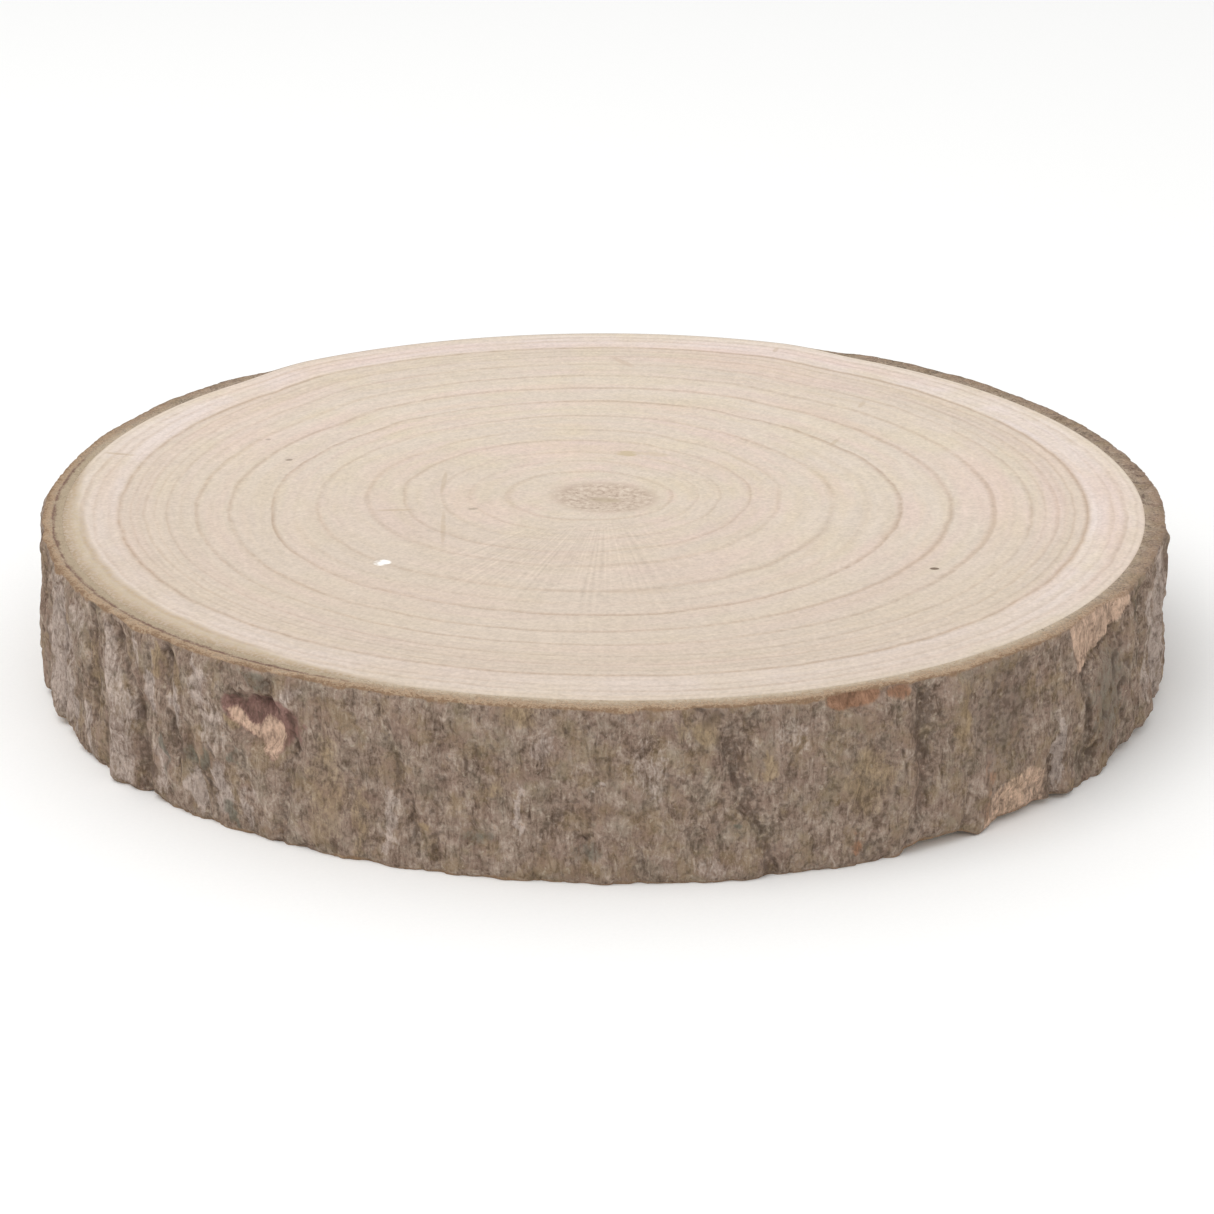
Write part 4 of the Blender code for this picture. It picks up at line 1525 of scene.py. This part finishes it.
        points = BarkPoints(bearing, fall, self.trunk.mean_radius)
        calm = smooth_step(0.0, self.furrow_fall, fall)
        cut = calm * sum(groove.cut(points) for groove in self.grooves())
        sunk, bare = self.sunk_and_bare(points, ragged)
        masks = self.tone_masks(points, surface)
        masks[Tone.INNER] = np.maximum(masks[Tone.INNER], bare)
        swell = noise_field(surface, self.swell_length)
        plates = noise_field(surface, self.plate_size, (0.0, 0.0, self.plate_level))
        furrow = np.maximum(1.0 - self.furrow_sharpness * np.abs(plates), 0.0) * calm
        relief = self.swell_height * swell + self.plate_height * (self.plate_rise - furrow) - cut - sunk
        first, last = self.scaly_bearings
        scaly = smooth_step(first, first - self.scaly_run, bearing)
        scaly += smooth_step(last, last + self.scaly_run, bearing)
        smooth = np.maximum(masks[Tone.INNER], masks[Tone.RUSSET])
        fine = self.fine_relief(surface) * (1.0 + self.scaly_boost * scaly) * (1.0 - 0.6 * smooth)
        back = self.trunk.back_share(bearing)
        fine *= np.maximum(smooth_step(-1.4, 2.5, fall - broken / MM), back)
        fine -= self.crack_depth * masks[Tone.DARK]
        to_corner = np.minimum(up, 1.0 - up) * thickness
        wear = self.corner_wear * (1.0 - smooth_step(0.0, self.corner_run, to_corner))
        even_side = self.trunk.outline(bearing) + self.back_bark_swell * back
        even_side += self.trunk.flare(bearing, fall)
        side = even_side + relief + fine - self.fine_sink - wear
        wood = self.trunk.wood_radius(bearing)
        side = np.maximum(side, wood + self.least_bark)

        start = wood - self.lap
        radius = start + out * (side - start)
        inner_height = np.where(up > 0.5, thickness - self.shrink, self.underside_gap)
        rounding = np.where(up > 0.5, 3.0 - 2.0 * back, 1.5)
        height = inner_height + out**rounding * (side_height - inner_height)
        places = np.column_stack([radius * np.cos(turn), radius * np.sin(turn), height])
        roughened = self.cut_grain_height * noise_field(places, self.cut_grain)
        places[:, 2] += np.where((out > 0.15) & (out < 0.9), roughened, 0.0)
        write_points(piece, places)

        on_side = smooth_step(0.6, 1.0, out)
        columns = {tone.value: mask * on_side for tone, mask in masks.items() if tone is not Tone.RED}
        # How deep each point sinks into a groove, furrow or crack, for the painted shade that darkens it
        # there.
        deep = np.maximum(cut, 0.0) + self.plate_height * furrow + np.maximum(-fine - 0.1 * MM, 0.0)
        columns |= {
            Tone.RED.value: masks[Tone.RED],
            "cavity_shade": np.clip(deep / self.cavity_shade_depth, 0.0, 1.0) * on_side,
            "across": out,
        }
        seam = 1.0 - smooth_step(0.7, 1.1, angle_share(bearing, self.seam_bearing, self.seam_half_angle))
        from_seam = out - self.seam_place - 0.1 * ragged
        columns["bast"] = seam * (1.0 - smooth_step(-0.08, 0.04, from_seam))
        columns["seam"] = seam * (1.0 - smooth_step(0.03, 0.12, np.abs(from_seam)))
        torn = 2.0 * ragged + 1.2 * noise_field(surface, 7.0 * MM, 61.0)
        top_strip = 1.0 - smooth_step(0.5, 1.4, (fall - broken / MM) / self.strip_width - torn)
        low_strip = 1.0 - smooth_step(0.4, 1.4, (side_height - low) / MM / self.strip_width - torn)
        strip = np.maximum(0.9 * top_strip, 0.7 * low_strip)
        worn = smooth_step(0.55, 1.1, angle_share(bearing, self.worn_bearing, self.worn_half_angle))
        worn = 1.0 - self.most_worn * (1.0 - worn)
        columns["cut"] = worn * np.maximum(1.0 - smooth_step(0.86, 1.0, out), strip)
        write_attributes(piece, columns)

    def sunk_and_bare(self, points: BarkPoints, ragged: np.ndarray) -> tuple[np.ndarray, np.ndarray]:
        """How deep the flakes and the outlined areas are sunk, and where flakes left the bark bare.

        Args:
            points: the points.
            ragged: noise that tears the flakes' outlines.

        Returns:
            The depths in metres, and the shares of bare inner bark.
        """
        sunk = np.zeros_like(ragged)
        bare = np.zeros_like(ragged)
        for flake in FLAKES:
            reach = flake.reach(points) + 0.4 * ragged
            uncovered = 1.0 - smooth_step(0.75, 1.05, reach + ragged)
            bare = np.maximum(bare, self.bareness * flake.bare * uncovered)
            sunk += flake.depth * MM * (1.0 - smooth_step(0.7, 1.1, reach))
        for area in AREAS:
            sunk += area.depth * MM * smooth_step(-0.5, 0.7, area.inside(points))
        return sunk, bare

    def tone_masks(self, points: BarkPoints, surface: np.ndarray) -> dict[Tone, np.ndarray]:
        """How strongly each tone lies on the bark.

        Args:
            points: the points.
            surface: the points on the even cylinder, for the noise that makes the outlines uneven.

        Returns:
            The tones' shares at each point.
        """
        bearing, fall, radius = points.bearing, points.fall, points.radius
        masks = {tone: np.zeros_like(bearing) for tone in Tone}
        sideways, downwards = (
            noise_field(surface, self.bends, shift) + 0.5 * noise_field(surface, self.fine_bends, fine_shift)
            for shift, fine_shift in ((29.0, 37.0), (41.0, 43.0))
        )
        lowered = fall + 4.0 * self.warp * downwards * smooth_step(0.0, 3.0, fall)
        moved = BarkPoints(bearing + 2.0 * self.warp * sideways, lowered, radius)
        for patch in self.patches():
            share = 1.0 - smooth_step(0.5, 1.3, patch.reach(moved))
            masks[patch.tone] = np.maximum(masks[patch.tone], patch.strength * share)
        moved = BarkPoints(bearing + 0.3 * sideways, fall + 0.5 * downwards, radius)
        for area in AREAS:
            share = area.strength * smooth_step(-0.7, 0.8, area.inside(moved))
            masks[area.tone] = np.maximum(masks[area.tone], share)
        broken_up = smooth_step(-0.35, 0.15, noise_field(surface, np.array((5.0, 5.0, 3.0)) * MM, 53.0))
        moved = BarkPoints(bearing + 0.6 * sideways, fall, radius)
        # Each crack is painted dark: partly the bark's own dark colour, partly painted shade inside the
        # crack.
        for crack in self.cracks():
            away = moved.distance_to(crack.points) / crack.width
            share = self.crack_strength * (1.0 - smooth_step(0.1, 0.7, away)) * broken_up
            masks[Tone.DARK] = np.maximum(masks[Tone.DARK], share)
        return masks


@dataclass(frozen=True)
class Studio:
    """A near-white paper floor under soft light from all round, and the photograph's viewpoint."""

    eye: tuple[float, float, float] = (0.0, -0.6759, 0.2748)
    aim: tuple[float, float, float] = (0.0, 0.0220, 0.0)
    lens: float = 94.19
    sensor: float = 36.0
    sideways_shift: float = 0.00399
    roll: float = -0.0062
    floor_size: float = 6.0
    floor_gap: float = 0.05 * MM
    sky: str = "#ffffff"
    sky_strength: float = 0.86
    key_place: tuple[float, float, float] = (-0.5, -0.35, 1.3)
    key_size: float = 1.1
    key_power: float = 7.0

    def build(self) -> None:
        """Set up the floor, the light and the camera."""
        bpy.context.scene.view_settings.view_transform = "Standard"
        self.lay_floor()
        self.hang_lights()
        self.place_camera()

    def lay_floor(self) -> None:
        """Lay the floor just under the slice."""
        bpy.ops.object.select_all(action="DESELECT")
        bpy.ops.mesh.primitive_plane_add(size=self.floor_size, location=(0.0, 0.0, -self.floor_gap))
        floor = bpy.context.active_object
        floor.name = "floor"
        bpy.ops.object.transform_apply(location=True, rotation=True, scale=True)
        floor.data.materials.append(PaperFloor().make())

    def hang_lights(self) -> None:
        """Hang a wide soft box high on the left, in an even white surround."""
        world = bpy.data.worlds.new("white_surround")
        world.use_nodes = True
        background = world.node_tree.nodes["Background"]
        background.inputs["Color"].default_value = srgb(self.sky)
        background.inputs["Strength"].default_value = self.sky_strength
        bpy.context.scene.world = world
        light = bpy.data.lights.new("soft_box", "AREA")
        light.shape = "DISK"
        light.size = self.key_size
        light.energy = self.key_power
        lamp = bpy.data.objects.new("soft_box", light)
        place = Vector(self.key_place)
        lamp.matrix_world = Matrix.Translation(place) @ (-place).to_track_quat("-Z", "Y").to_matrix().to_4x4()
        bpy.context.scene.collection.objects.link(lamp)

    def place_camera(self) -> None:
        """Stand the camera where the photograph was taken from."""
        data = bpy.data.cameras.new("camera")
        data.lens = self.lens
        data.sensor_width = self.sensor
        data.shift_x = self.sideways_shift
        camera = bpy.data.objects.new("camera", data)
        eye = Vector(self.eye)
        look = (Vector(self.aim) - eye).to_track_quat("-Z", "Y").to_matrix().to_4x4()
        camera.matrix_world = Matrix.Translation(eye) @ look @ Matrix.Rotation(self.roll, 4, "Z")
        bpy.context.scene.collection.objects.link(camera)
        bpy.context.scene.camera = camera


def main() -> None:
    """Build the slice's wood and bark round the frame, and the studio that they are seen in."""
    logging.basicConfig(level=logging.INFO, format="%(name)s: %(message)s")
    trunk = Trunk(thickness=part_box(NODE)[1].z)
    WoodDisc(GrowthRings(trunk)).build()
    BarkRing(trunk).build()
    Studio().build()


if __name__ == "__main__":
    main()
